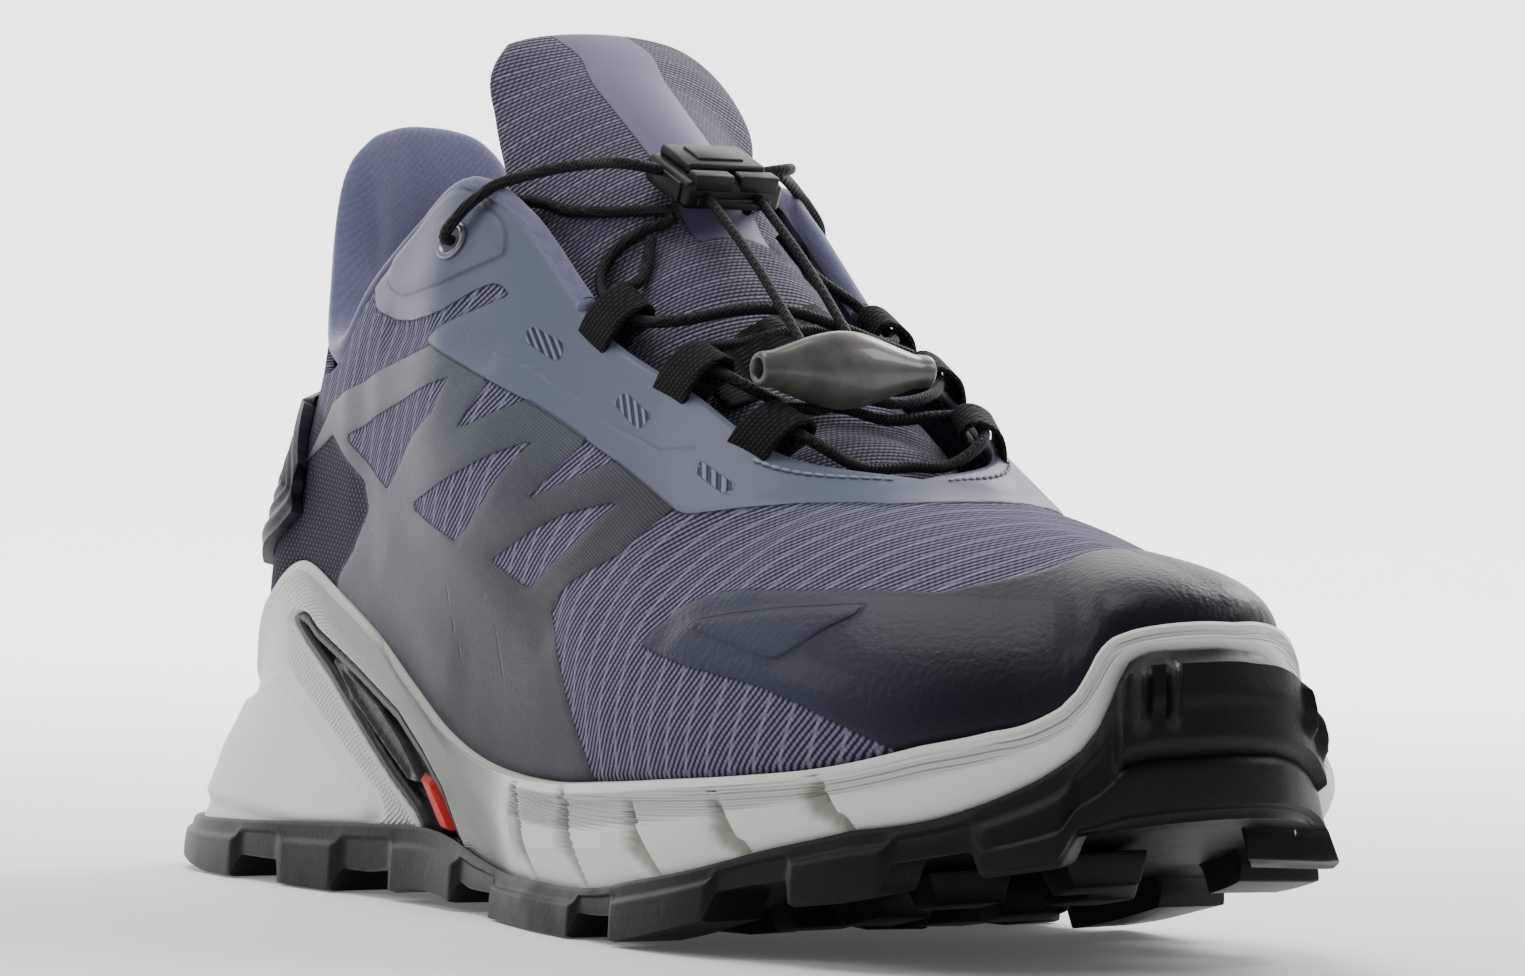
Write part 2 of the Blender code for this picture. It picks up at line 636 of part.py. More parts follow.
def slot_solid(side, inset, deep, proud, foot):
    """The slot's shape between two depths under the foam's wall."""
    bm = bmesh.new()
    rows = 6
    rings = []
    for number in range(rows + 1):
        ring = []
        for place_in_slot, (row, top) in enumerate(SLOT):
            shift = inset * (1.5 - place_in_slot) / 1.5
            share = foot + (top - inset - foot) * number / rows
            ring.append((row + shift, share))
        rings.append(ring)
    sheets = []
    for offset in (-deep, proud):
        sheet = [[bm.verts.new(wall_point(r, s, side, offset)) for r, s in ring] for ring in rings]
        sheets.append(sheet)
    inner, outer = sheets
    width = len(SLOT)
    for sheet in sheets:
        for a in range(rows):
            for b in range(width - 1):
                bm.faces.new((sheet[a][b], sheet[a][b + 1], sheet[a + 1][b + 1], sheet[a + 1][b]))
    for a in range(rows):
        for b in (0, width - 1):
            bm.faces.new((inner[a][b], inner[a + 1][b], outer[a + 1][b], outer[a][b]))
    for b in range(width - 1):
        for a in (0, rows):
            bm.faces.new((inner[a][b], inner[a][b + 1], outer[a][b + 1], outer[a][b]))
    bmesh.ops.recalc_face_normals(bm, faces=bm.faces)
    return bm


def make_midsole():
    low, top = WALL[0], feather_ring(STEPS)
    out_low, out_top = outward(low), outward(top)
    base = []
    for p in low:
        base.append(Vector((p.x, p.y, underside(p.x) + RUBBER_THICKNESS + CLEARANCE)))
    lip = [f + m * CLEARANCE * 2 for f, m in zip(top, out_top)]
    bed = []
    for line, m in zip(GRID, out_top):
        point = line[0] + m * CLEARANCE * 2
        point.z = footbed(line[0].x)
        bed.append(point)
    piece = add_piece("midsole", closed_stack([base] + WALL + [lip, bed], last_slant=-1), "foam")
    for side in (-1, 1):
        slot = add_cutter("slot_" + SIDE_NAME[side], slot_solid(side, 0.0, SLOT_DEPTH, SLOT_DEPTH, -0.12))
        cut(piece, slot, solver="MANIFOLD")
        for number, x in enumerate(GROOVES, 1):
            cut(piece, groove(x * LENGTH, side, number))


def edge_at(x, side):
    """Point of the foam's lower edge at x on one side, with the way out."""
    ring = WALL[0]
    out = outward(ring)
    span = range(1, HALF) if side < 0 else range(HALF + 1, COUNT)
    i = min(span, key=lambda j: abs(ring[j].x - x))
    return ring[i], out[i]


def groove(x, side, number):
    """A three sided notch that fades out towards the top of the foam's wall."""
    edge, out = edge_at(x, side)
    rise = FOXING_HEIGHT * 0.46
    bm = bmesh.new()
    bmesh.ops.create_cone(bm, cap_ends=True, segments=4, radius1=GROOVE_SIZE * 0.62,
                          radius2=GROOVE_SIZE * 0.30, depth=rise)
    lean = Matrix.Rotation(math.radians(-12), 4, "Y")
    move = Matrix.Translation((x, edge.y + out.y * GROOVE_SIZE * 0.10, edge.z + rise * 0.36))
    bmesh.ops.transform(bm, matrix=move @ lean, verts=bm.verts)
    return add_cutter(f"groove_{SIDE_NAME[side]}_{number}", bm)


def make_frames():
    for side in (-1, 1):
        gap = CLEARANCE * 100
        bm = slot_solid(side, gap, SLOT_DEPTH - CLEARANCE, -SLOT_DEPTH * 0.25, gap / 3)
        add_piece("side_frame_" + SIDE_NAME[side], bm, "frame")


def make_insole():
    out = outward(feather_ring(STEPS))
    low, high = [], []
    for line, n in zip(GRID, out):
        point = line[0] - n * (UPPER_WALL + CLEARANCE * 4)
        bottom = footbed(point.x) + CLEARANCE
        low.append(Vector((point.x, point.y, bottom)))
        high.append(Vector((point.x, point.y, bottom + INSOLE_THICKNESS)))
    add_piece("insole", closed_stack([low, high]), "lining")


def lug(bm, x, y, length, width, turn):
    """A tapered block under the rubber, its foot along the sole's curve."""
    step = LENGTH * 0.02
    slope = math.atan2(underside(x + step) - underside(x - step), 2 * step)
    grip = RUBBER_THICKNESS * 0.5
    made = bmesh.ops.create_cube(bm, size=1.0)
    corners = made["verts"]
    for v in corners:
        share = LUG_TAPER if v.co.z < 0 else 1.0
        v.co = Vector((v.co.x * length * share, v.co.y * width * share, v.co.z * (LUG_HEIGHT + grip)))
    middle = underside(x) - LUG_HEIGHT / 2 + grip / 2
    reach = abs(math.sin(slope)) * (length + width) * LUG_TAPER / 2
    middle = max(middle, reach + (LUG_HEIGHT + grip) / 2)
    spin = Matrix.Rotation(-slope, 4, "Y") @ Matrix.Rotation(math.radians(turn), 4, "Z")
    bmesh.ops.transform(bm, matrix=Matrix.Translation((x, y, middle)) @ spin, verts=corners)


def make_outsole():
    low = WALL[0]
    out = outward(low)
    flare = [shape[0] for shape in sole_shape(STEPS)]
    bed, inner, outer, middle, foot = [], [], [], [], []
    for p, n, f in zip(low, out, flare):
        bed.append(Vector((p.x, p.y, underside(p.x) + RUBBER_THICKNESS)) + n * CLEARANCE)
        inner.append(p + n * CLEARANCE)
        outer.append(p + n * (CLEARANCE + RUBBER_LIP))
        tip = p + n * (f + CLEARANCE + RUBBER_LIP)
        tip.z = underside(p.x)
        foot.append(tip)
        half = outer[-1].lerp(tip, 0.55)
        middle.append(half + n * f * 0.25)
    piece = add_piece("outsole", closed_stack([bed, inner, outer, middle, foot]), "rubber")
    bm = bmesh.new()
    for x_share, count, turn in LUG_ROWS:
        x = x_share * LENGTH
        left, out_left = edge_at(x, -1)
        right, out_right = edge_at(x, 1)
        start = left.y - LUG_WIDTH * 0.10
        finish = right.y + LUG_WIDTH * 0.10
        width = min(LUG_WIDTH, (finish - start) / count * 0.74)
        for number in range(count):
            share = number / (count - 1)
            y = (start + width / 2) * (1 - share) + (finish - width / 2) * share
            way = turn if share < 0.5 else -turn
            lug(bm, x, y, LUG_LENGTH, width, way)
    cut(piece, add_cutter("lugs", bm), "UNION")


def tongue_height(x, y):
    """Height of the tongue's outer face."""
    share, crown, wide, drop, middle = read(TONGUE, x / LENGTH)
    reach = min(abs(y / BALL_WIDTH - middle) / wide, 1.15)
    return crown * TONGUE_HEIGHT - drop * BALL_WIDTH * reach**TONGUE_BEND


def make_tongue():
    stations = [row[0] for row in TONGUE]
    stations += [(a + b) / 2 for a, b in zip(stations[4:], stations[5:-2])]
    rings = []
    for share in sorted(stations):
        row = read(TONGUE, share)
        ring = []
        for k in range(TONGUE_STEPS + 1):
            turn = math.sin(math.pi * (k / TONGUE_STEPS - 0.5))
            y = (row[4] + row[2] * turn) * BALL_WIDTH
            ring.append(Vector((share * LENGTH, y, tongue_height(share * LENGTH, y))))
        rings.append(ring)
    bm = bmesh.new()
    skin(bm, rings, closed=False)
    bm.normal_update()
    if sum(face.normal.z for face in bm.faces) < 0:
        bmesh.ops.reverse_faces(bm, faces=bm.faces)
    piece = add_piece("tongue", bm, "knit")
    wall = piece.modifiers.new("padding", "SOLIDIFY")
    wall.thickness = TONGUE_THICKNESS
    wall.offset = -1


def wall_line(i, share):
    """Point and normal of the upper's skin at a share of its height."""
    depth = len(GRID[0]) - 2
    level = 1 + share * depth
    k = min(int(level), depth)
    point = GRID[i][k].lerp(GRID[i][k + 1], level - k)
    return point, NORMALS[i][k].lerp(NORMALS[i][k + 1], level - k).normalized()


def collar_line():
    """Top of the collar roll from the inner side's end round the heel to the outer side's."""
    def make(row, y):
        return (Vector((row[0] * LENGTH, y * BALL_WIDTH, row[3] * TAB_HEIGHT)), Vector((row[4], row[5])))
    outer = [make(row, -row[1]) for row in COLLAR]
    inner = [make(row, row[2]) for row in COLLAR[1:]]
    line = inner[::-1] + outer
    tops = []
    for i in range(len(line) - 1):
        before, after = line[max(i - 1, 0)], line[min(i + 2, len(line) - 1)]
        for s in range(STEPS):
            found = []
            for part in range(2):
                m0 = (line[i + 1][part] - before[part]) / 2
                m1 = (after[part] - line[i][part]) / 2
                found.append(hermite(line[i][part], line[i + 1][part], m0, m1, s / STEPS))
            tops.append(found)
    return tops + [line[-1]]


def make_collar():
    start = COUNT - (len(COLLAR) - 1) * STEPS
    gap = UPPER_WALL + CLEARANCE * 2
    rings = []
    for number, (peak, (thick, low)) in enumerate(collar_line()):
        i = (start + number) % COUNT
        pad = thick * COLLAR_PAD
        edge, out = wall_line(i, 1.0)
        out = Vector((out.x, out.y, 0)).normalized()
        ring = []
        for share in (low, (low + 1) / 2, 1.0):
            point, normal = wall_line(i, share)
            ring.append(point - normal * gap)
        over = edge + Vector((0, 0, CLEARANCE * 2))
        ring.append(over - out * gap)
        ring.append(over.lerp(peak, 0.5))
        ring.append(peak)
        ring.append(peak - out * pad * 0.6 - Vector((0, 0, pad * 0.10)))
        ring.append(over.lerp(peak, 0.4) - out * (gap + pad * 0.9))
        for share, swell in (((low + 1) / 2, 1.0), (low, 0.4)):
            point, normal = wall_line(i, share)
            ring.append(point - normal * (gap + pad * swell))
        rings.append(ring)
    bm = bmesh.new()
    levels = [[bm.verts.new(p) for p in ring] for ring in rings]
    width = len(rings[0])
    for a, b in zip(levels, levels[1:]):
        for k in range(width):
            bm.faces.new((a[k], a[(k + 1) % width], b[(k + 1) % width], b[k]))
    bm.faces.new(levels[0])
    bm.faces.new(levels[-1])
    bmesh.ops.recalc_face_normals(bm, faces=bm.faces)
    add_piece("collar_lining", bm, "lining")


def loop_frame(row, side):
    """Middle of a webbing loop with its way in over the tongue, along the throat and up."""
    edge, normal, up, along = surface_frame(row, 1.0, side)
    level = Vector((up.x, up.y, 0)).normalized()
    reach = (up + level * 1.2).normalized()
    lift = along.cross(reach).normalized()
    if lift.z < 0:
        lift = -lift
    middle = edge + reach * LOOP_REACH * 0.44 + lift * LOOP_RISE
    return middle, reach, along, lift


def make_loops():
    for side in (-1, 1):
        for number, row in enumerate(LOOP_ROWS[side], 1):
            middle, reach, along, lift = loop_frame(row, side)
            height = LACE_DIAMETER + LOOP_THICKNESS * 2 + CLEARANCE * 6
            turn = Matrix((reach, along, lift)).transposed().to_4x4()
            spot = Matrix.Translation(middle) @ turn
            bm = bmesh.new()
            half, radius = LOOP_REACH / 2, height / 2
            profile = []
            for end in (-1, 1):
                for k in range(5):
                    a = math.pi * (k / 4 - 0.5)
                    profile.append((end * (half - radius + radius * math.cos(a)), end * radius * math.sin(a)))
            rings = []
            for y, thin in ((-1, 0), (1, 0), (1, 1), (-1, 1)):
                shrink = 1 - thin * LOOP_THICKNESS / radius
                ring = []
                for a, b in profile:
                    flat = half - radius
                    core = max(min(a, flat), -flat)
                    point = Vector((core + (a - core) * shrink, y * LOOP_WIDTH / 2, b * shrink))
                    ring.append(spot @ point)
                rings.append(ring)
            skin(bm, rings + [rings[0]])
            bmesh.ops.remove_doubles(bm, verts=bm.verts, dist=CLEARANCE / 10)
            bmesh.ops.recalc_face_normals(bm, faces=bm.faces)
            add_piece(f"loop_{SIDE_NAME[side]}_{number}", bm, "lace")


def make_eyelets():
    bore, wall, flange = EYELET_RADIUS, EYELET_WALL, EYELET_FLANGE
    top = FILM_THICKNESS + CLEARANCE * 2
    rim = FILM_THICKNESS * 0.6
    profile = [(bore, -UPPER_WALL * 0.8), (bore + wall, -UPPER_WALL * 0.8), (bore + wall, top),
               (bore + wall + flange, top), (bore + wall + flange, top + rim), (bore, top + rim)]
    for side in (-1, 1):
        point, normal, up, along = EYELETS[side]
        bm = bmesh.new()
        verts = [bm.verts.new((r, 0, z)) for r, z in profile]
        edges = [bm.edges.new((verts[k - 1], verts[k])) for k in range(len(verts))]
        bmesh.ops.spin(bm, geom=verts + edges, axis=(0, 0, 1), cent=(0, 0, 0), steps=16,
                       angle=math.tau, use_merge=True)
        bmesh.ops.recalc_face_normals(bm, faces=bm.faces)
        bmesh.ops.transform(bm, matrix=place(normal, along, point), verts=bm.verts)
        add_piece("eyelet_" + SIDE_NAME[side], bm, "metal")


def smooth_route(points, step):
    """Evenly spaced points on a smooth curve through the route's own points."""
    ways = []
    for i in range(len(points)):
        before, after = points[max(i - 1, 0)], points[min(i + 1, len(points) - 1)]
        ways.append((after - before) / ((after - points[i]).length + (points[i] - before).length))
    dense = []
    for i in range(len(points) - 1):
        span = (points[i + 1] - points[i]).length
        for s in range(12):
            dense.append(hermite(points[i], points[i + 1], ways[i] * span, ways[i + 1] * span, s / 12))
    dense.append(points[-1])
    total = sum((b - a).length for a, b in zip(dense, dense[1:]))
    spans = max(2, round(total / step))
    route, gone, target = [dense[0]], 0.0, total / spans
    for a, b in zip(dense, dense[1:]):
        length = (b - a).length
        while gone + length >= target and len(route) < spans:
            route.append(a.lerp(b, (target - gone) / length))
            target += total / spans
        gone += length
    route.append(dense[-1])
    return route


def make_cord(name, points, diameter):
    curve = bpy.data.curves.new(name, "CURVE")
    curve.dimensions = "3D"
    curve.bevel_depth = diameter / 2
    curve.bevel_resolution = 2
    curve.use_fill_caps = True
    route = smooth_route(points, CORD_STEP)
    spline = curve.splines.new("POLY")
    spline.points.add(len(route) - 1)
    for spot, point in zip(spline.points, route):
        spot.co = (*point, 1)
    curve.materials.append(MATERIALS["lace"])
    cord = bpy.data.objects.new(name, curve)
    SHOE.objects.link(cord)
    return cord


def on_tongue(x, y, lift):
    """Point at a height square to the tongue's face above its place at x and y."""
    step = CLEARANCE
    slope_x = (tongue_height(x + step, y) - tongue_height(x - step, y)) / (2 * step)
    slope_y = (tongue_height(x, y + step) - tongue_height(x, y - step)) / (2 * step)
    normal = Vector((-slope_x, -slope_y, 1)).normalized()
    return Vector((x, y, tongue_height(x, y))) + normal * lift


def loop_points(row, side):
    """Lace's way through a loop, from its heel side to its toe side."""
    middle, reach, along, lift = loop_frame(row, side)
    way = along if along.x > 0 else -along
    far = middle + reach * LOOP_REACH * 0.14
    ends, inside = LOOP_WIDTH * 0.5 + LACE_DIAMETER, LOOP_WIDTH * 0.4
    return [far + way * share for share in (-ends, -inside, inside, ends)]


# Lace beside the lock, seen from above, x of LENGTH and y of BALL_WIDTH: the ends of the crossings,
# and the short runs from the inside of the top eyelets
BESIDE_LOCK = {-1: [(0.468, -0.125), (0.456, -0.088)], 1: [(0.461, 0.148), (0.474, 0.185)]}
INNER_RUNS = {
    -1: [(0.392, -0.150), (0.418, -0.120), (0.440, -0.088)],
    1: [(0.395, 0.235), (0.420, 0.195), (0.443, 0.148)],
}
LOCK_SPOT = on_tongue(0.443 * LENGTH, 0.030 * BALL_WIDTH, LOCK_DEPTH / 2 + LACE_DIAMETER * 0.9)
LOCK_TILT = 41
TOGGLE_SPOT = on_tongue(0.604 * LENGTH, -0.003 * BALL_WIDTH, TOGGLE_DIAMETER / 2 + LACE_DIAMETER * 2.7)


def make_lace():
    low = LACE_DIAMETER / 2 + CLEARANCE * 2
    high = low + LACE_DIAMETER + CLEARANCE * 2

    def between(a, b, lift):
        points = []
        for share in (0.3, 0.5, 0.7):
            spot = a.lerp(b, share)
            points.append(on_tongue(spot.x, spot.y, lift))
        return points

    loops = {side: [loop_points(row, side) for row in LOOP_ROWS[side]] for side in (-1, 1)}
    beside = {}
    for side in (-1, 1):
        beside[side] = [on_tongue(x * LENGTH, y * BALL_WIDTH, low) for x, y in BESIDE_LOCK[side]]
        run = [on_tongue(x * LENGTH, y * BALL_WIDTH, low) for x, y in INNER_RUNS[side]]
        make_cord("lace_inner_" + SIDE_NAME[side], run, LACE_DIAMETER)
    outer, inner = loops[-1], loops[1]
    route = beside[1] + inner[0]
    route += between(inner[0][-1], outer[1][0], low) + outer[1]
    route += between(outer[1][-1], inner[2][0], low) + inner[2]
    route += between(inner[2][-1], outer[2][-1], low) + outer[2][::-1]
    route += between(outer[2][0], inner[1][-1], high) + inner[1][::-1]
    route += between(inner[1][0], outer[0][-1], high) + outer[0][::-1]
    route += beside[-1]
    make_cord("lace_crossings", route, LACE_DIAMETER)
    for side in (-1, 1):
        point, normal, up, along = EYELETS[side]
        top = FILM_THICKNESS * 1.6 + LACE_DIAMETER / 2 + CLEARANCE * 4
        edge, edge_normal, edge_up, edge_along = surface_frame(9.55, 1.0, side)
        over = edge + edge_normal * LACE_DIAMETER * 0.5 + Vector((0, 0, LACE_DIAMETER))
        finish = LOCK_SPOT + Vector((0, side * (LOCK_WIDTH / 2 + CLEARANCE), 0))
        stand = Vector((0, side * LACE_DIAMETER * 3, LACE_DIAMETER * 0.4))
        route = [point + normal * top, point.lerp(edge, 0.5) + normal * top * 1.25, over,
                 over.lerp(finish, 0.5) + Vector((0, 0, LACE_DIAMETER)), finish + stand, finish]
        make_cord("lace_top_" + SIDE_NAME[side], route, LACE_DIAMETER)


def make_lock():
    bm = bmesh.new()
    bmesh.ops.create_cube(bm, size=1.0)
    bmesh.ops.scale(bm, vec=(LOCK_LENGTH, LOCK_WIDTH, LOCK_DEPTH), verts=bm.verts)
    bmesh.ops.bevel(bm, geom=bm.edges[:], offset=LOCK_DEPTH * 0.22, segments=2, profile=0.5,
                    affect="EDGES", material=-1)
    turn = Matrix.Rotation(math.radians(LOCK_TILT), 4, "Y")
    bmesh.ops.transform(bm, matrix=Matrix.Translation(LOCK_SPOT) @ turn, verts=bm.verts)
    add_piece("lace_lock", bm, "lace")


def make_toggle():
    """Spindle across the tongue, thick in the middle."""
    bm = bmesh.new()
    shape = [(0.0, -0.5), (0.30, -0.5), (0.36, -0.47), (0.43, -0.30), (0.50, -0.08), (0.50, 0.08),
             (0.43, 0.30), (0.36, 0.47), (0.30, 0.5), (0.0, 0.5)]
    verts = [bm.verts.new((r * TOGGLE_DIAMETER, 0, z * TOGGLE_LENGTH)) for r, z in shape]
    edges = [bm.edges.new(pair) for pair in zip(verts, verts[1:])]
    bmesh.ops.spin(bm, geom=verts + edges, axis=(0, 0, 1), cent=(0, 0, 0), steps=12,
                   angle=math.tau, use_merge=True)
    bmesh.ops.remove_doubles(bm, verts=bm.verts, dist=CLEARANCE / 10)
    bmesh.ops.recalc_face_normals(bm, faces=bm.faces)
    turn = Matrix.Rotation(math.radians(90), 4, "X")
    bmesh.ops.transform(bm, matrix=Matrix.Translation(TOGGLE_SPOT) @ turn, verts=bm.verts)
    add_piece("pull_toggle", bm, "toggle")


def make_pull_cords():
    down = Matrix.Rotation(math.radians(LOCK_TILT), 3, "Y") @ Vector((1, 0, 0))
    for side in (-1, 1):
        side_step = Vector((0, side * LOCK_WIDTH * 0.26, 0))
        lift = Vector((-down.z, 0, down.x)) * LACE_DIAMETER * 0.7
        start = LOCK_SPOT + side_step + lift + down * (LOCK_LENGTH / 2 + CLEARANCE)
        end = TOGGLE_SPOT + side_step - down * (TOGGLE_DIAMETER / 2 + CLEARANCE)
        half = start.lerp(end, 0.5)
        half.z += LACE_DIAMETER * 0.6
        make_cord("pull_cord_" + SIDE_NAME[side], [start, half, end], LACE_DIAMETER)


make_upper()
make_films()
make_heel_clip()
make_midsole()
make_frames()
make_insole()
make_outsole()
make_tongue()
make_collar()
make_loops()
make_eyelets()
make_lace()
make_lock()
make_toggle()
make_pull_cords()

# The origin goes under the middle of the shoe, on the floor
bpy.context.view_layer.update()
graph = bpy.context.evaluated_depsgraph_get()
corners = []
for thing in SHOE.objects:
    mesh = thing.evaluated_get(graph).to_mesh()
    corners += [v.co.copy() for v in mesh.vertices]
low = Vector([min(c[k] for c in corners) for k in range(3)])
high = Vector([max(c[k] for c in corners) for k in range(3)])
origin = bpy.data.objects.new("shoe_origin", None)
SHOE.objects.link(origin)
origin.location = (-(low.x + high.x) / 2, -(low.y + high.y) / 2, -low.z)
for thing in list(SHOE.objects) + list(CUTTERS.objects):
    if thing is not origin:
        thing.parent = origin
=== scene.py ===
import math

import bmesh
import bpy
import numpy as np
from mathutils import Matrix, Vector


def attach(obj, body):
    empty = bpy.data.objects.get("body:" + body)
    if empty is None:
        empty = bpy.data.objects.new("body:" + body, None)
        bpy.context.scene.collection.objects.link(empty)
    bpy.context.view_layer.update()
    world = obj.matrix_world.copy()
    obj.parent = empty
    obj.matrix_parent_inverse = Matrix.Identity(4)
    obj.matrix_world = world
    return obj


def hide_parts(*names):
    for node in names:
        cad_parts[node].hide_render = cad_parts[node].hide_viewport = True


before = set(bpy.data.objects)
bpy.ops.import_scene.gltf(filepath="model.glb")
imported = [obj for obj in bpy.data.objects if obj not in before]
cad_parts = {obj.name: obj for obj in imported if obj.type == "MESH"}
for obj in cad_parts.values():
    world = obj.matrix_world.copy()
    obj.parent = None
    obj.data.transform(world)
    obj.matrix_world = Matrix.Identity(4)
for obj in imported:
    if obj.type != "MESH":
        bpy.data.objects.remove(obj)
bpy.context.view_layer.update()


# Camera. It stands in front of the toe on the outer side, low and almost level,
# with a long lens and a slight roll.
YAW, DOWN, ROLL = math.radians(147.520), math.radians(0.960), math.radians(1.054)
ahead = Vector((math.cos(DOWN) * math.cos(YAW), math.cos(DOWN) * math.sin(YAW), -math.sin(DOWN)))
flat = ahead.cross(Vector((0, 0, 1))).normalized()
tall = flat.cross(ahead)
right = flat * math.cos(ROLL) + tall * math.sin(ROLL)
above = tall * math.cos(ROLL) - flat * math.sin(ROLL)
camera = bpy.data.objects.new("camera", bpy.data.cameras.new("camera"))
camera.data.sensor_width = 36
camera.data.lens = 166.5
camera.matrix_world = (Matrix.Translation((1.03091, -0.64783, 0.09426))
                       @ Matrix((right, above, -ahead)).transposed().to_4x4())
bpy.context.scene.collection.objects.link(camera)
bpy.context.scene.camera = camera


# Pull cords and their toggle. Two thin round braided cords leave the front of the lace lock and
# end in a moulded spindle of clouded plastic, which the hand pulls.
# The shoe's own places are measured from the heel; ORIGIN moves them to the middle of the shoe.
ORIGIN = Vector((-0.15005, 0.00238, 0.0))
LACE_DIAMETER = 0.0021
TOGGLE_SPOT = Vector((0.18652, -0.00141, 0.09444))
TOGGLE_LENGTH = 0.0340
TOGGLE_DIAMETER = 0.0092
PULL_CORDS = {
    "lateral": [(0.14310, -0.00249, 0.12474), (0.14684, -0.00287, 0.12246), (0.15434, -0.00365, 0.11796),
                (0.16173, -0.00442, 0.11328), (0.16887, -0.00516, 0.10823), (0.17585, -0.00589, 0.10295),
                (0.18282, -0.00661, 0.09765)],
    "medial": [(0.14310, 0.00791, 0.12474), (0.14684, 0.00753, 0.12246), (0.15434, 0.00675, 0.11796),
               (0.16173, 0.00598, 0.11328), (0.16887, 0.00524, 0.10823), (0.17585, 0.00451, 0.10295),
               (0.18282, 0.00379, 0.09765)],
}


def paint(red, green, blue):
    """Linear colour from the usual numbers of 0 to 255."""
    parts = [c / 255 for c in (red, green, blue)]
    return tuple(c / 12.92 if c <= 0.04045 else ((c + 0.055) / 1.055) ** 2.4 for c in parts) + (1.0,)


class Wire:
    """Output of a node that can be added, multiplied and so on."""

    def __init__(self, finish, socket):
        self.finish = finish
        self.socket = socket

    def act(self, how, *others):
        return self.finish.node("ShaderNodeMath", {"operation": how}, dict(enumerate((self, *others))))

    def __add__(self, other):
        return self.act("ADD", other)

    def __mul__(self, other):
        return self.act("MULTIPLY", other)

    def __sub__(self, other):
        return self.act("SUBTRACT", other)

    def __truediv__(self, other):
        return self.act("DIVIDE", other)

    def __rsub__(self, other):
        return self.act("MULTIPLY_ADD", -1.0, other)

    __radd__ = __add__
    __rmul__ = __mul__

    def wave(self):
        """From 0 to 1 and back once in each whole step."""
        return self.act("MULTIPLY", math.tau).act("COSINE") * 0.5 + 0.5

    def fade(self, low, high, start=0.0, end=1.0):
        return self.finish.node(
            "ShaderNodeMapRange", {"interpolation_type": "SMOOTHSTEP"},
            {"Value": self, "From Min": low, "From Max": high, "To Min": start, "To Max": end})


class Finish:
    """Material of a piece: one shader, fed by nodes that one method makes."""

    def __init__(self, name, slot, colour, rough, sockets=None):
        self.material = bpy.data.materials.new(name)
        self.material.use_nodes = True
        self.tree = self.material.node_tree
        self.shader = self.tree.nodes["Principled BSDF"]
        self.slot = slot
        self.feed({"Base Color": colour, "Roughness": rough, **(sockets or {})})

    def link(self, inputs, sockets):
        for key, value in sockets.items():
            if isinstance(value, Wire):
                self.tree.links.new(value.socket, inputs[key])
            else:
                inputs[key].default_value = value

    def feed(self, sockets):
        self.link(self.shader.inputs, sockets)

    def node(self, kind, settings, sockets, out=0):
        made = self.tree.nodes.new(kind)
        for key, value in settings.items():
            setattr(made, key, value)
        self.link(made.inputs, sockets)
        return Wire(self, made.outputs[out])

    def mix(self, factor, first, second):
        return self.node("ShaderNodeMix", {"data_type": "RGBA"}, {0: factor, 6: first, 7: second}, 2)

    def value(self, name):
        return self.node("ShaderNodeAttribute", {"attribute_name": name}, {}, "Fac")

    def place(self):
        spot = self.node("ShaderNodeTexCoord", {}, {}, "Object")
        return [self.node("ShaderNodeSeparateXYZ", {}, {0: spot}, k) for k in range(3)]

    def grain(self, scale, detail):
        spot = self.node("ShaderNodeTexCoord", {}, {}, "Object")
        return self.node("ShaderNodeTexNoise", {}, {"Vector": spot, "Scale": scale, "Detail": detail})

    def bump(self, height, distance, strength=1.0):
        normal = self.node("ShaderNodeBump", {},
                           {"Height": height, "Distance": distance, "Strength": strength})
        self.feed({"Normal": normal})


def show(piece, finish, *nodes):
    """Puts a piece into the scene with its finish, in place of its nodes of the source."""
    piece.data.materials.append(finish.material)
    bpy.context.scene.collection.objects.link(piece)
    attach(piece, "root")
    if nodes:
        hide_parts(*nodes)
    return piece


def add_piece(name, bm, finish, *nodes, sharp=60):
    bmesh.ops.translate(bm, vec=ORIGIN, verts=bm.verts)
    mesh = bpy.data.meshes.new(name)
    bm.to_mesh(mesh)
    bm.free()
    mesh.shade_smooth()
    mesh.set_sharp_from_angle(angle=math.radians(sharp))
    return show(bpy.data.objects.new(name, mesh), finish, *nodes)


def thicken(piece, thickness, offset=-1):
    """Gives a sheet its thickness."""
    wall = piece.modifiers.new("wall", "SOLIDIFY")
    wall.thickness = thickness
    wall.offset = offset


def soften(piece, width, segments, angle):
    """Rounds a piece's sharp edges."""
    edge = piece.modifiers.new("soft_edge", "BEVEL")
    edge.width = width
    edge.segments = segments
    edge.limit_method = "ANGLE"
    edge.angle_limit = math.radians(angle)


def bend(a, b, start, finish, t):
    """Smooth curve from a to b, which leaves and arrives along the given slopes."""
    return (a * (2 * t**3 - 3 * t**2 + 1) + start * (t**3 - 2 * t**2 + t)
            + b * (3 * t**2 - 2 * t**3) + finish * (t**3 - t**2))


def smooth_way(points, steps):
    """Smooth open curve through the points, with slopes that follow the distances between them."""
    points = [Vector(p) for p in points]
    ways = []
    for i, point in enumerate(points):
        before, after = points[max(i - 1, 0)], points[min(i + 1, len(points) - 1)]
        ways.append((after - before) / ((after - point).length + (point - before).length))
    way = []
    for i in range(len(points) - 1):
        a, b, span = points[i], points[i + 1], (points[i + 1] - points[i]).length
        way += [bend(a, b, ways[i] * span, ways[i + 1] * span, s / steps) for s in range(steps)]
    return way + [points[-1]]


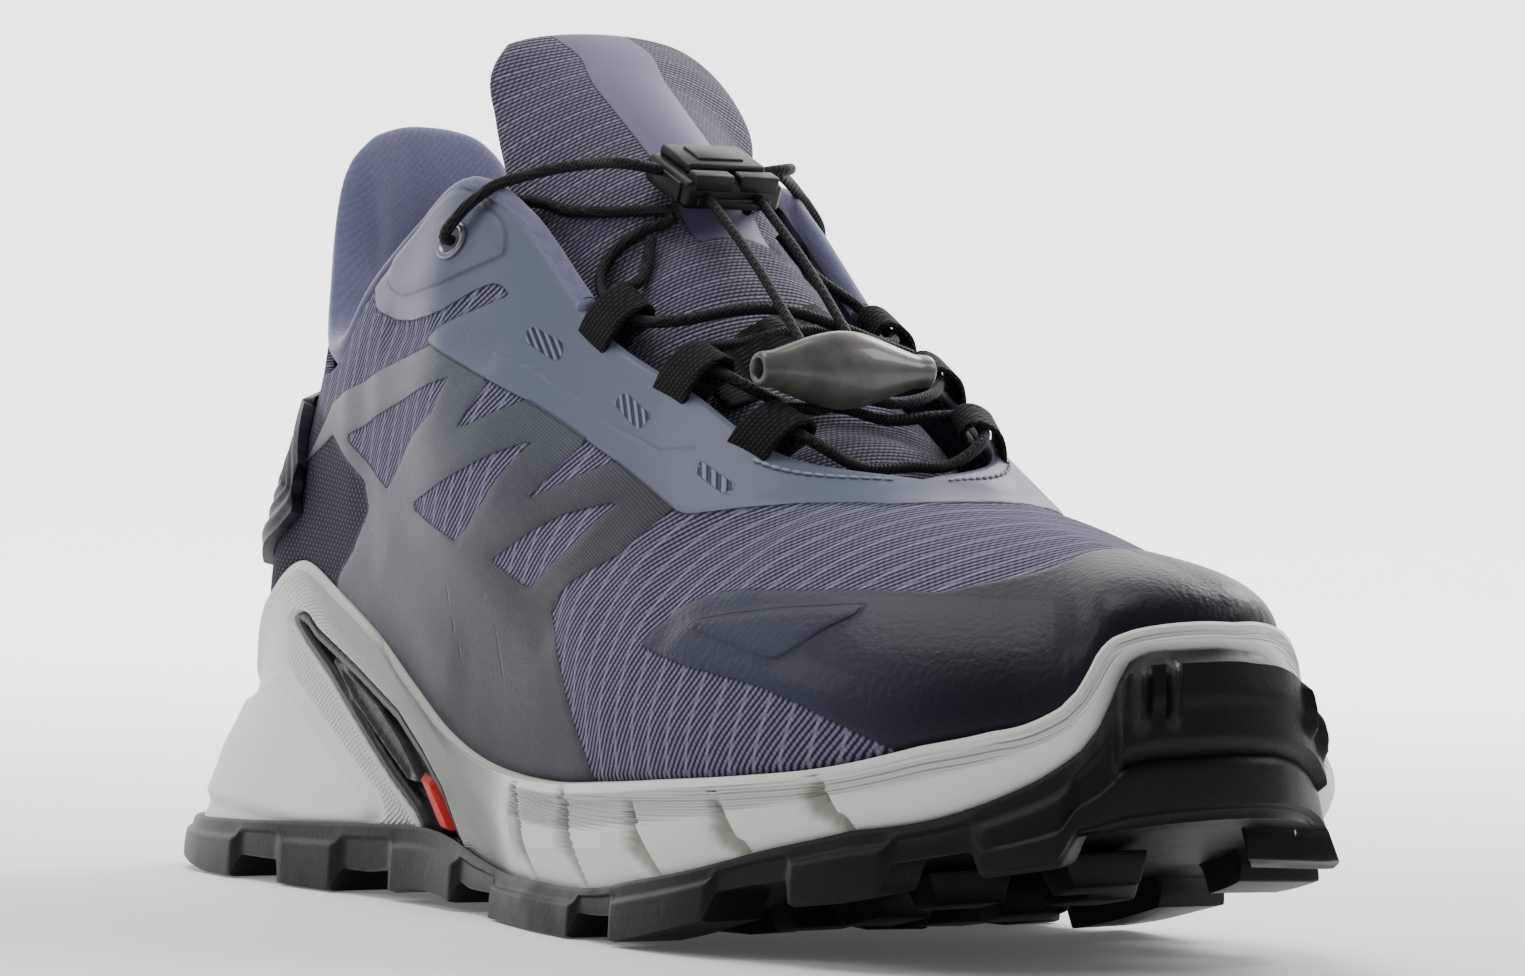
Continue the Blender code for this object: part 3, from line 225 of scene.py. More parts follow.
def lace_line(name, points, diameter, finish, *nodes, steps=3):
    """Round cord along a smooth way."""
    curve = bpy.data.curves.new(name, "CURVE")
    curve.dimensions = "3D"
    curve.bevel_depth = diameter / 2
    curve.bevel_resolution = 4
    curve.use_fill_caps = True
    way = smooth_way(points, steps)
    spline = curve.splines.new("POLY")
    spline.points.add(len(way) - 1)
    for spot, point in zip(spline.points, way):
        spot.co = (*(point + ORIGIN), 1)
    return show(bpy.data.objects.new(name, curve), finish, *nodes)


braid = Finish("braid", "lace", paint(16, 16, 18), 0.6, {"Specular IOR Level": 0.2})
x, y, z = braid.place()
first = ((x * 0.8 + y * 1.1 - z * 0.9) / 0.00095).wave()
second = ((x * 1.0 - y * 1.2 + z * 0.7) / 0.00095).wave()
strands = first.act("MAXIMUM", second)
braid.feed({"Base Color": braid.mix(strands.fade(0.45, 1.0), paint(5, 5, 6), paint(34, 34, 38))})
braid.bump(strands, 0.0003, 0.8)

clouded = Finish("clouded_plastic", "toggle", paint(92, 92, 84), 0.38,
                 {"Coat Weight": 0.25, "Transmission Weight": 0.15, "Subsurface Weight": 0.1,
                  "Subsurface Scale": 0.003})
clouds = clouded.grain(220, 3)
clouded.feed({"Base Color": clouded.mix(clouds.fade(0.25, 0.75), paint(66, 67, 62), paint(92, 90, 76))})
clouded.bump(clouded.grain(1500, 2), 0.0001, 0.3)

# The toggle's outline from its outer end to its inner end: share of the diameter, share of the length
TOGGLE_SHAPE = [
    (0.17, -0.44), (0.20, -0.50), (0.27, -0.505), (0.30, -0.49), (0.31, -0.42), (0.34, -0.36), (0.40, -0.26),
    (0.46, -0.16), (0.50, -0.06), (0.505, 0.06), (0.47, 0.18), (0.41, 0.30), (0.36, 0.40), (0.33, 0.46),
    (0.30, 0.50), (0.20, 0.505), (0.17, 0.44),
]
# The spindle's middle is taller than it is wide
TOGGLE_SWELL = 0.42
bm = bmesh.new()
way = smooth_way([(r * TOGGLE_DIAMETER, 0, h * TOGGLE_LENGTH) for r, h in TOGGLE_SHAPE], 3)
verts = [bm.verts.new(point) for point in way + [way[0]]]
edges = [bm.edges.new(pair) for pair in zip(verts, verts[1:])]
bmesh.ops.spin(bm, geom=verts + edges, axis=(0, 0, 1), cent=(0, 0, 0), steps=48, angle=math.tau,
               use_merge=True)
bmesh.ops.remove_doubles(bm, verts=bm.verts, dist=0.000002)
bmesh.ops.recalc_face_normals(bm, faces=bm.faces)
for vert in bm.verts:
    vert.co.y *= 1 + TOGGLE_SWELL * max(0, 1 - (vert.co.z / TOGGLE_LENGTH / 0.42)**2)
turn = Matrix.Rotation(math.radians(90), 4, "X")
bmesh.ops.transform(bm, matrix=Matrix.Translation(TOGGLE_SPOT) @ turn, verts=bm.verts)
toggle = add_piece("toggle", bm, clouded, "pull_toggle")

PULLED_DIAMETER = LACE_DIAMETER * 0.84
for side, points in PULL_CORDS.items():
    cord = lace_line("cord_" + side, points, PULLED_DIAMETER, braid, "pull_cord_" + side)
    way = [spot.co.to_3d() for spot in cord.data.splines[0].points]
    long = sum((b - a).length for a, b in zip(way, way[1:]))


# Floor and light. A plain pale studio floor that curves up behind the shoe, under soft boxes
# above, at the left and at the right.
# Painted light: the floor glows, faintly where the shoe stands and brightly where it curves up behind, and
# this glow lights the shoe as well.
studio = Finish("studio", "floor", (0.88, 0.88, 0.88, 1.0), 0.9, {"Emission Strength": 2.4})
x, y, z = studio.place()
behind = (x * math.cos(YAW) + y * math.sin(YAW)).fade(-0.15, 1.3)
studio.feed({"Emission Color": studio.mix(behind, paint(34, 34, 34), paint(255, 255, 255))})
# Rows of the floor: in all, in its level part and in its bend; then its measures in metres
FLOOR_ROWS, LEVEL_ROWS, BEND_ROWS = 24, 12, 8
LEVEL_LENGTH, NEAR_EDGE, HALF_WIDTH, BEND_RADIUS, WALL_STEP = 5, 2.6, 6, 1.4, 0.6
bm = bmesh.new()
bmesh.ops.create_grid(bm, x_segments=1, y_segments=FLOOR_ROWS, size=1.0)
for vert in bm.verts:
    gone = (vert.co.y + 1) / 2 * FLOOR_ROWS
    angle = min(max((gone - LEVEL_ROWS) / BEND_ROWS, 0), 1) * math.pi / 2
    out = min(gone, LEVEL_ROWS) / LEVEL_ROWS * LEVEL_LENGTH - NEAR_EDGE + BEND_RADIUS * math.sin(angle)
    lift = BEND_RADIUS * (1 - math.cos(angle)) + max(gone - LEVEL_ROWS - BEND_ROWS, 0) * WALL_STEP
    vert.co = Vector((vert.co.x * HALF_WIDTH, out, lift))
bmesh.ops.recalc_face_normals(bm, faces=bm.faces)
bmesh.ops.rotate(bm, verts=bm.verts, matrix=Matrix.Rotation(YAW - math.pi / 2, 3, "Z"))
mesh = bpy.data.meshes.new("floor")
bm.to_mesh(mesh)
bm.free()
mesh.shade_smooth()
mesh.materials.append(studio.material)
floor = bpy.data.objects.new("floor", mesh)
bpy.context.scene.collection.objects.link(floor)

world = bpy.data.worlds.new("studio")
bpy.context.scene.world = world
world.use_nodes = True
world.node_tree.nodes["Background"].inputs["Color"].default_value = (1, 1, 1, 1)
world.node_tree.nodes["Background"].inputs["Strength"].default_value = 0.35

# Soft boxes: along the view, to the left of it, height, size, power in watts
SOFT_BOXES = [(0.1, 0.3, 1.3, 0.8, 12), (-0.2, 1.2, 0.8, 0.5, 4), (0.0, -1.1, 0.7, 0.4, 5),
              (0.9, -0.7, 0.9, 0.5, 11)]
AIM = Vector((0, 0, 0.07))
for number, (far, left, high, wide, power) in enumerate(SOFT_BOXES, 1):
    lamp = bpy.data.lights.new(f"soft_box_{number}", "AREA")
    lamp.size = wide
    lamp.energy = power
    box = bpy.data.objects.new(lamp.name, lamp)
    level_way = Vector((math.cos(YAW), math.sin(YAW), 0))
    spot = level_way * far + Vector((-level_way.y, level_way.x, 0)) * left + Vector((0, 0, high))
    box.location = spot
    box.rotation_euler = (AIM - spot).to_track_quat("-Z", "Y").to_euler()
    bpy.context.scene.collection.objects.link(box)


# Upper. One soft shell of ribbed mesh over the foot, with films welded on it: a zigzag on each side,
# a toe cap, the throat's smooth facing and a dotted heel quarter. Its edge is glued into the foam cup.
LENGTH = 0.300
BALL_WIDTH = 0.100
INSTEP_HEIGHT = 0.125
COLLAR_HEIGHT = 0.108
TAB_HEIGHT = 0.137
TOE_HEIGHT = 0.066
FOXING_HEIGHT = 0.058
FOOTBED_HEIGHT = 0.026
UPPER_WALL = 0.0020
HEIGHTS = {"collar": COLLAR_HEIGHT, "instep": INSTEP_HEIGHT, "toe": TOE_HEIGHT}

# Feather line, where the foam cup's edge meets the upper, heel centre to toe centre.
# x of LENGTH, outer and inner y of BALL_WIDTH, z of FOXING_HEIGHT, tuck of BALL_WIDTH,
# lean of the wall in degrees, lower handle as a share of the wall's height
FEATHER = [
    (0.030, -0.03, 0.03, 0.60, 0.050, 6, 0.34),
    (0.040, 0.09, 0.14, 0.60, 0.050, 6, 0.34),
    (0.064, 0.17, 0.22, 0.62, 0.050, 6, 0.34),
    (0.093, 0.23, 0.27, 0.68, 0.045, 6, 0.34),
    (0.130, 0.285, 0.305, 0.88, 0.050, 5, 0.34),
    (0.173, 0.30, 0.32, 1.00, 0.060, 4, 0.34),
    (0.233, 0.325, 0.34, 0.92, 0.070, 4, 0.34),
    (0.300, 0.355, 0.355, 0.80, 0.075, 4, 0.34),
    (0.357, 0.375, 0.36, 0.655, 0.075, 5, 0.34),
    (0.413, 0.395, 0.36, 0.525, 0.070, 7, 0.34),
    (0.477, 0.42, 0.365, 0.45, 0.060, 9, 0.34),
    (0.560, 0.455, 0.40, 0.43, 0.060, 10, 0.34),
    (0.633, 0.485, 0.44, 0.45, 0.060, 12, 0.36),
    (0.707, 0.50, 0.47, 0.48, 0.060, 14, 0.38),
    (0.773, 0.485, 0.47, 0.51, 0.060, 12, 0.34),
    (0.833, 0.44, 0.435, 0.55, 0.060, 10, 0.31),
    (0.880, 0.36, 0.355, 0.62, 0.070, 8, 0.28),
    (0.920, 0.25, 0.26, 0.71, 0.080, 6, 0.25),
    (0.948, 0.17, 0.17, 0.88, 0.100, 4, 0.22),
    (0.963, 0.07, 0.09, 0.95, 0.110, 3, 0.20),
    (0.968, -0.02, 0.02, 0.96, 0.110, 3, 0.20),
]
# Top line: collar, throat and, from the throat's bottom on, the ridge of the toe box.
# x of LENGTH, outer and inner y of BALL_WIDTH, the height that z is a share of, z,
# rise of the wall on arrival in degrees, upper handle as a share of the wall's height
TOPLINE = [
    (0.088, -0.05, 0.05, "collar", 0.98, 84, 0.36),
    (0.090, 0.01, 0.13, "collar", 0.97, 84, 0.36),
    (0.097, 0.08, 0.19, "collar", 0.95, 84, 0.36),
    (0.110, 0.14, 0.235, "collar", 0.92, 84, 0.36),
    (0.130, 0.185, 0.27, "collar", 0.88, 84, 0.36),
    (0.157, 0.23, 0.295, "collar", 0.85, 84, 0.36),
    (0.195, 0.26, 0.315, "collar", 0.88, 82, 0.36),
    (0.240, 0.285, 0.330, "instep", 0.84, 80, 0.36),
    (0.297, 0.29, 0.350, "instep", 0.925, 76, 0.36),
    (0.347, 0.27, 0.370, "instep", 1.00, 66, 0.36),
    (0.400, 0.245, 0.345, "instep", 0.950, 58, 0.38),
    (0.487, 0.240, 0.325, "instep", 0.800, 48, 0.40),
    (0.573, 0.215, 0.295, "instep", 0.715, 40, 0.42),
    (0.643, 0.17, 0.245, "instep", 0.635, 28, 0.44),
    (0.680, -0.03, 0.03, "toe", 1.144, 3, 0.44),
    (0.720, -0.03, 0.03, "toe", 1.114, 3, 0.43),
    (0.763, -0.03, 0.03, "toe", 1.076, 5, 0.42),
    (0.807, -0.03, 0.03, "toe", 1.045, 8, 0.44),
    (0.840, -0.03, 0.03, "toe", 1.020, 9, 0.48),
    (0.860, -0.03, 0.03, "toe", 1.008, 9, 0.52),
    (0.868, -0.03, 0.03, "toe", 1.000, 9, 0.52),
]
THROAT_ROW = 14

# Footbed that carries the insole: x of LENGTH, z of FOOTBED_HEIGHT
FOOTBED = [
    (0.00, 1.00), (0.20, 0.98), (0.35, 0.92), (0.50, 0.76), (0.65, 0.62), (0.75, 0.63),
    (0.82, 0.80), (0.88, 0.95), (0.94, 1.12), (1.00, 1.36),
]


# Outlines of the films seen from the side: x of the length, z of the instep's height
FILM = [
    (0.150, 0.600), (0.190, 0.694), (0.224, 0.714), (0.272, 0.737), (0.361, 0.780), (0.433, 0.729),
    (0.415, 0.658), (0.468, 0.704), (0.531, 0.650), (0.508, 0.569), (0.562, 0.624), (0.629, 0.562),
    (0.6175, 0.504), (0.580, 0.462), (0.568, 0.442), (0.564, 0.425), (0.577, 0.387), (0.592, 0.324),
    (0.604, 0.276), (0.617, 0.232), (0.640, 0.100), (0.140, 0.100), (0.239, 0.449), (0.264, 0.487),
    (0.281, 0.544), (0.271, 0.584), (0.202, 0.648),
]
WINDOWS = [
    [(0.237, 0.651), (0.394, 0.736), (0.384, 0.686), (0.356, 0.652), (0.316, 0.575), (0.236, 0.641)],
    [(0.357, 0.555), (0.388, 0.575), (0.492, 0.653), (0.470, 0.582), (0.436, 0.509)],
    [(0.481, 0.487), (0.522, 0.528), (0.547, 0.552), (0.590, 0.573), (0.570, 0.510), (0.533, 0.453)],
]
CAP = [
    (0.6761, 0.390), (0.6815, 0.415), (0.6944, 0.444), (0.7147, 0.460), (0.7523, 0.466), (0.8079, 0.471),
    (0.8453, 0.471), (0.8583, 0.487), (0.8699, 0.500), (0.8725, 0.512), (0.8740, 0.60), (1.1, 0.60),
    (1.1, 0.0), (0.930, 0.150), (0.8675, 0.283), (0.8430, 0.306), (0.8144, 0.330), (0.7822, 0.350),
    (0.7177, 0.370),
]
CAP_PRINT = [(0.711, 0.415), (0.7155, 0.424), (0.7668, 0.442), (0.8181, 0.451), (0.8193, 0.438),
             (0.7915, 0.383), (0.7843, 0.381), (0.7484, 0.397)]
FACING = [
    (0.2480, 0.870), (0.2574, 0.838), (0.2637, 0.828), (0.2929, 0.815), (0.3235, 0.814), (0.3535, 0.820),
    (0.3679, 0.828), (0.3786, 0.841), (0.3878, 0.854), (0.3983, 0.865), (0.4084, 0.861), (0.4161, 0.849),
    (0.4056, 0.837), (0.3842, 0.818), (0.3586, 0.795), (0.3542, 0.787), (0.3613, 0.780), (0.4334, 0.729),
    (0.4685, 0.703), (0.5307, 0.650), (0.5612, 0.625), (0.6293, 0.562), (0.6397, 0.556), (0.6593, 0.566),
    (0.6794, 0.573), (0.7090, 0.576), (0.7259, 0.575), (0.7400, 0.579), (0.7400, 0.80), (0.56, 1.20),
    (0.24, 1.20),
]
PATCH = [(0.272, 0.872), (0.286, 0.857), (0.306, 0.847), (0.329, 0.850), (0.359, 0.861), (0.380, 0.881),
         (0.3986, 0.901), (0.3989, 0.908), (0.392, 0.935), (0.3855, 0.950), (0.377, 0.963), (0.35, 1.00),
         (0.32, 1.02), (0.285, 0.94)]
STITCH_BLOCKS = [
    [(0.4413, 0.807), (0.4713, 0.780), (0.4750, 0.752), (0.4428, 0.785)],
    [(0.5280, 0.720), (0.5617, 0.684), (0.5626, 0.662), (0.5295, 0.700)],
    [(0.6132, 0.627), (0.6435, 0.595), (0.6487, 0.578), (0.6168, 0.611)],
]
QUARTER = [(-0.1, 0.78), (0.105, 0.735), (0.150, 0.690), (0.202, 0.648), (0.271, 0.584), (0.281, 0.544),
           (0.264, 0.487), (0.239, 0.449), (0.20, 0.30), (-0.1, 0.30)]
# Lines pressed into the films
PRINTED_LINES = [
    [(0.391, 0.795), (0.404, 0.791), (0.424, 0.770), (0.456, 0.751), (0.488, 0.720), (0.514, 0.695),
     (0.547, 0.667), (0.584, 0.636), (0.604, 0.642)],
    [(0.286, 0.519), (0.3235, 0.486)],
    [(0.403, 0.462), (0.423, 0.451), (0.447, 0.342)],
    [(0.4785, 0.440), (0.4916, 0.424), (0.5125, 0.301)],
    [(0.354, 0.404), (0.376, 0.385)],
]
# Soft troughs and ridges of the worn shape: two ends seen from the side, reach and depth in metres
CREASES = [
    ((0.655, 0.520), (0.690, 0.420), 0.007, 0.0007), ((0.715, 0.530), (0.735, 0.470), 0.006, -0.0004),
    ((0.290, 0.800), (0.420, 0.760), 0.006, 0.0007), ((0.250, 0.720), (0.280, 0.560), 0.010, 0.0008),
    ((0.440, 0.560), (0.560, 0.420), 0.009, 0.0006), ((0.600, 0.420), (0.640, 0.300), 0.010, -0.0006),
    ((0.330, 0.480), (0.420, 0.350), 0.012, -0.0007), ((0.690, 0.350), (0.840, 0.300), 0.008, 0.0005),
]


def both_sides(table, make):
    """Rows of numbers round the shoe: heel, outer side, toe, inner side."""
    outer = [make(row, -row[1]) for row in table]
    inner = [make(row, row[2]) for row in table[1:-1]]
    return np.array(outer + inner[::-1])


def follow(rows, places, corners=()):
    """Smooth values between closed rows at the given places. A corner keeps its two sides apart."""
    ahead = np.roll(rows, -1, 0)
    start = (ahead - np.roll(rows, 1, 0)) / 2
    finish = (np.roll(rows, -2, 0) - rows) / 2
    for k in corners:
        start[k] = ahead[k] - rows[k]
        finish[k - 1] = rows[k] - rows[k - 1]
    places = np.asarray(places, float)
    i = np.floor(places + 1e-9).astype(int)
    t = (places - i)[:, None]
    i = i % len(rows)
    return bend(rows[i], ahead[i], start[i], finish[i], t)


ROWS = 2 * (len(FEATHER) - 1)
CORNERS = (THROAT_ROW, ROWS - THROAT_ROW)
feather_rows = both_sides(FEATHER, lambda r, y: (r[0] * LENGTH, y * BALL_WIDTH, r[3] * FOXING_HEIGHT,
                                                 r[4] * BALL_WIDTH, r[5], r[6]))
top_rows = both_sides(TOPLINE, lambda r, y: (r[0] * LENGTH, y * BALL_WIDTH, r[4] * HEIGHTS[r[3]], r[5], r[6]))

# The foam band rises steeply round the toe bumper: rows away from the toe, then how much its upper
# edge and its lower edge move, in metres
TOE_ARCH = np.array([
    (0.0, 0.0, 0.0004), (0.8, 0.0002, 0.0009), (1.55, 0.0010, 0.0019), (1.83, 0.0011, 0.0016),
    (1.97, 0.0002, -0.0006), (2.08, -0.0019, -0.0032), (2.23, -0.0037, -0.0056),
    (2.46, -0.0040, -0.0065), (2.88, -0.0021, -0.0052), (3.3, -0.0006, -0.0042), (4.0, 0.0, -0.0026),
    (5.0, 0.0, 0.0),
])


def feather_line(places):
    """The upper's lower edge at the given places."""
    line = follow(feather_rows, places)
    line[:, 2] += np.interp(np.abs(np.asarray(places) - ROWS / 2), TOE_ARCH[:, 0], TOE_ARCH[:, 1])
    return line


def unit(vectors):
    return vectors / np.maximum(np.linalg.norm(vectors, axis=-1, keepdims=True), 1e-12)


def outward(rows, places):
    """Level vectors out of a closed line."""
    step = 0.3
    way = follow(rows, places + step)[:, :2] - follow(rows, places - step)[:, :2]
    return unit(np.stack([way[:, 1], -way[:, 0], np.zeros(len(way))], 1))


def upper_wall(places, shares):
    """Points of the upper's skin: places round the shoe by shares of the height."""
    low, high = feather_line(places), follow(top_rows, places, CORNERS)
    f, t, out = low[:, :3], high[:, :3], outward(feather_rows, places)
    height = np.linalg.norm(t - f, axis=1)[:, None]
    lean, rise = np.radians(low[:, 4:5]), np.radians(high[:, 3:4])
    up = np.array([[0, 0, 1.0]])
    handle = f + (up * np.cos(lean) + out * np.sin(lean)) * height * low[:, 5:6]
    arrive = t - (up * np.sin(rise) - out * np.cos(rise)) * height * high[:, 4:5]
    s = np.asarray(shares)[None, :, None]
    return (f[:, None] * (1 - s)**3 + handle[:, None] * 3 * s * (1 - s)**2
            + arrive[:, None] * 3 * s**2 * (1 - s) + t[:, None] * s**3)


def grid_normals(points):
    """Unit vectors square to a grid of points that goes round counterclockwise and up."""
    along = np.gradient(points, axis=0)
    up = np.gradient(points, axis=1)
    return unit(np.cross(along, up))


def inside(points, outline):
    """Distance in metres from an outline's edge, seen from the side, positive inside it."""
    flat = points[..., (0, 2)]
    size = np.array([LENGTH, INSTEP_HEIGHT])
    best = np.full(flat.shape[:-1], 1e9)
    within = np.zeros(flat.shape[:-1], bool)
    for a, b in zip(outline, outline[1:] + outline[:1]):
        a, b = np.array(a) * size, np.array(b) * size
        best = np.minimum(best, beside(flat, a, b))
        crosses = (a[1] > flat[..., 1]) != (b[1] > flat[..., 1])
        rise = b[1] - a[1] if abs(b[1] - a[1]) > 1e-12 else 1e-12
        reach = a[0] + (flat[..., 1] - a[1]) * (b[0] - a[0]) / rise
        within ^= crosses & (flat[..., 0] < reach)
    return np.where(within, best, -best)


def beside(flat, a, b):
    """Distance of flat points from the straight line between two points."""
    way = b - a
    share = np.clip(((flat - a) @ way) / (way @ way), 0, 1)
    return np.linalg.norm(flat - a - share[..., None] * way, axis=-1)


def from_lines(points, lines):
    """Distance in metres from the nearest of some lines, seen from the side."""
    flat = points[..., (0, 2)]
    size = np.array([LENGTH, INSTEP_HEIGHT])
    best = np.full(flat.shape[:-1], 1e9)
    for line in lines:
        for a, b in zip(line, line[1:]):
            best = np.minimum(best, beside(flat, np.array(a) * size, np.array(b) * size))
    return best


def ease(value, low, high):
    t = np.clip((value - low) / (high - low), 0, 1)
    return t * t * (3 - 2 * t)


def hill(distance, reach):
    """1 on the line, smoothly 0 at the reach."""
    return ease(reach - distance, 0, reach)


def sheet(points, values=None):
    """Mesh of a grid of points, started as a flat grid, with named values at its points."""
    bm = bmesh.new()
    across, up = points.shape[0] - 1, points.shape[1] - 1
    bmesh.ops.create_grid(bm, x_segments=across, y_segments=up, size=1.0)
    layers = {name: bm.verts.layers.float.new(name) for name in values or {}}
    for vert in bm.verts:
        i, k = round((vert.co.x + 1) / 2 * across), round((vert.co.y + 1) / 2 * up)
        vert.co = points[i, k]
        for name, layer in layers.items():
            vert[layer] = values[name][i, k]
    bmesh.ops.remove_doubles(bm, verts=bm.verts, dist=0.00002)
    bmesh.ops.recalc_face_normals(bm, faces=bm.faces)
    return bm


def read(table, x):
    """Smooth values at x of a table whose rows start with x."""
    rows = np.array(table, float)
    x = np.clip(x, rows[0, 0], rows[-1, 0])
    i = np.clip(np.searchsorted(rows[:, 0], x, side="right") - 1, 0, len(rows) - 2)
    slopes = np.gradient(rows[:, 1:], rows[:, 0], axis=0)
    span = (rows[i + 1, 0] - rows[i, 0])[..., None]
    t = ((x - rows[i, 0]) / span[..., 0])[..., None]
    return bend(rows[i, 1:], rows[i + 1, 1:], slopes[i] * span, slopes[i + 1] * span, t)


places = np.linspace(0, ROWS, ROWS * 13 + 1)
shares = np.concatenate([[0.0], np.linspace(0.0, 1.0, 62)])
skin = upper_wall(places, shares)
tuck = feather_line(places)[:, 3:4]
skin[:, 0] -= outward(feather_rows, places) * (tuck + 0.0010)
skin[:, 0, 2] = read(FOOTBED, skin[:, 0, 0] / LENGTH)[..., 0] * FOOTBED_HEIGHT + 0.0012
out = grid_normals(skin)
out[0] = out[-1] = unit(out[0] + out[-1])
for i in np.nonzero((places >= THROAT_ROW) & (places <= ROWS - THROAT_ROW))[0]:
    mate = len(places) - 1 - i
    out[i, -1] = unit(out[i, -2] + out[mate, -2])
tip = slice(len(places) // 2 - 14, len(places) // 2 + 15)
out[tip, -4:] = unit(out[tip, -6].sum(axis=0))

film = inside(skin, FILM)
for window in WINDOWS:
    film = np.minimum(film, -inside(skin, window))
cap = inside(skin, CAP)
facing = inside(skin, FACING)
patch = inside(skin, PATCH)
blocks = np.max([inside(skin, block) for block in STITCH_BLOCKS], axis=0)
cap_print = inside(skin, CAP_PRINT)
quarter = inside(skin, QUARTER)
printed = from_lines(skin, PRINTED_LINES)
# How far the films stand out of the cloth, and the cloth out of the wall's middle
FILM_RISE, CAP_RISE, FACING_RISE = 0.0003, 0.0004, 0.0004
PATCH_RISE, PRINT_RISE, CLOTH_RISE = 0.0007, 0.0006, 0.0006
lift =(FILM_RISE * ease(film, -0.0006, 0.0006) + CAP_RISE * ease(cap, -0.0006, 0.0006)
        + FACING_RISE * ease(facing, -0.0006, 0.0006) + PATCH_RISE * ease(patch, -0.0010, 0.0014)
        + PRINT_RISE * ease(cap_print, -0.0005, 0.0008))
for (a, b, reach, depth) in CREASES:
    lift -= depth * hill(from_lines(skin, [[a, b]]), reach)
lift[:, 0] = 0
lift += CLOTH_RISE * (shares > 0)[None, :]
skin = skin + out * lift[..., None]
values = {"film": film, "cap": cap, "facing": facing, "patch": patch, "blocks": blocks,
          "cap_print": cap_print, "quarter": quarter, "printed": printed}

cloth = Finish("upper_cloth_and_films", "textile", paint(107, 110, 134), 0.8, {"Specular IOR Level": 0.16})
x, y, z = cloth.place()
rib = ((x * 0.78 - z * 0.62) / 0.00107).wave()
stitch = ((x * 0.62 + z * 0.78 + y * 0.3) / 0.00082).wave()
weave = rib * 0.75 + rib * stitch * 0.5
fuzz = cloth.grain(1400, 2)
tone = (weave + fuzz * 0.5 - 0.25).fade(0.1, 0.95)
colour = cloth.mix(tone, paint(34, 36, 50), paint(112, 113, 136))
ripstop = ((x * 0.93 - z * 0.2) / 0.0052).wave().fade(0.93, 1.0)
colour = cloth.mix(ripstop * 0.4, colour, paint(150, 151, 170))
height = weave * 0.35

dots = ((x * 0.7 + z * 0.7) / 0.0011).wave() * ((x * 0.7 - z * 0.7 + y * 0.5) / 0.0011).wave()
on_quarter = cloth.value("quarter").fade(-0.0015, 0.0015)
colour = cloth.mix(on_quarter, colour, cloth.mix(dots.fade(0.35, 0.8), paint(34, 38, 48), paint(74, 78, 90)))
height = height * (1 - on_quarter) + dots * on_quarter * 0.3

film_edge = cloth.value("film")
on_film = film_edge.fade(-0.00008, 0.00008)
hair = ((x * 0.397 + z * 0.918) / 0.00042).wave() * 0.6 + cloth.grain(900, 2) * 0.4
streak = cloth.grain(38, 4).fade(0.42, 0.72)
low = (x * -0.55 + z * 1.0).fade(0.045, 0.105)
brushed = cloth.mix(low, paint(15, 19, 29), paint(62, 70, 79))
brushed = cloth.mix(hair.fade(0.3, 0.8) * (streak * 0.5 + 0.25), brushed, paint(84, 92, 102))
colour = cloth.mix(on_film, colour, brushed)
height = height * (1 - on_film) + on_film * (hair * 0.30 + 0.70)

cap_edge = cloth.value("cap")
on_cap = cap_edge.fade(-0.00008, 0.00008)
leather = cloth.grain(900, 3)
navy = cloth.mix((x + y * 0.6).fade(0.05, 0.11), paint(46, 52, 66), paint(15, 19, 28))
colour = cloth.mix(on_cap, colour, navy)
height = height * (1 - on_cap) + on_cap * (leather * 0.45 + 0.65)

facing_edge = cloth.value("facing")
on_facing = facing_edge.fade(-0.00008, 0.00008)
colour = cloth.mix(on_facing, colour, paint(90, 97, 114))
height = height * (1 - on_facing) + on_facing * (cloth.grain(1000, 2) * 0.2 + 0.9)

threads = ((x * 0.8 + z * 0.9) / 0.0011).wave()
on_block = cloth.value("blocks").fade(-0.0001, 0.0001)
thread_colour = cloth.mix(threads.fade(0.4, 0.7), paint(34, 38, 52), paint(118, 126, 146))
colour = cloth.mix(on_block, colour, thread_colour)
height = height + on_block * threads * 0.9

pressed = cloth.value("printed").fade(0.0, 0.0007)
rim = cloth.value("patch").act("ABSOLUTE").fade(0.0, 0.0006)
rim = rim * cloth.value("cap_print").act("ABSOLUTE").fade(0.0, 0.0005)
height = height + pressed * 0.4 + rim * 0.5
# Painted shadow: darker colour along the edges of the raised patch and the cap's print, and a thin dark line
# just outside the edges of the films, the cap and the facing.
edge_shadow_factor = rim * 0.35 + 0.65
for edge in (film_edge, cap_edge, facing_edge):
    line = (edge + 0.00012).act("ABSOLUTE").fade(0.00008, 0.00035)
    edge_shadow_factor = edge_shadow_factor * (line * 0.45 + 0.55)
colour = cloth.mix(1 - edge_shadow_factor, colour, paint(20, 22, 30))
cover = on_film.act("MAXIMUM", on_cap).act("MAXIMUM", on_facing)
cloth.feed({"Base Color": colour, "Roughness": 0.85 - cover * 0.40, "Coat Weight": cover * 0.03})
cloth.bump(height, 0.0004, 1.0)

upper = add_piece("upper_shell", sheet(skin, values), cloth, "upper", "toe_cap", "side_film_lateral",
                  "side_film_medial", "eyestay", sharp=80)
thicken(upper, UPPER_WALL * 0.8)


# Midsole. A pale moulded foam cup that grips the upper, high at the heel, with a smooth pod at the
# heel, fine ribs beside the slot and along the ball, and five notches at the ball.
FOAM_LIP = 0.0022
RUBBER_THICKNESS = 0.0018
LUG_HEIGHT = 0.0045
CLEARANCE = 0.0003

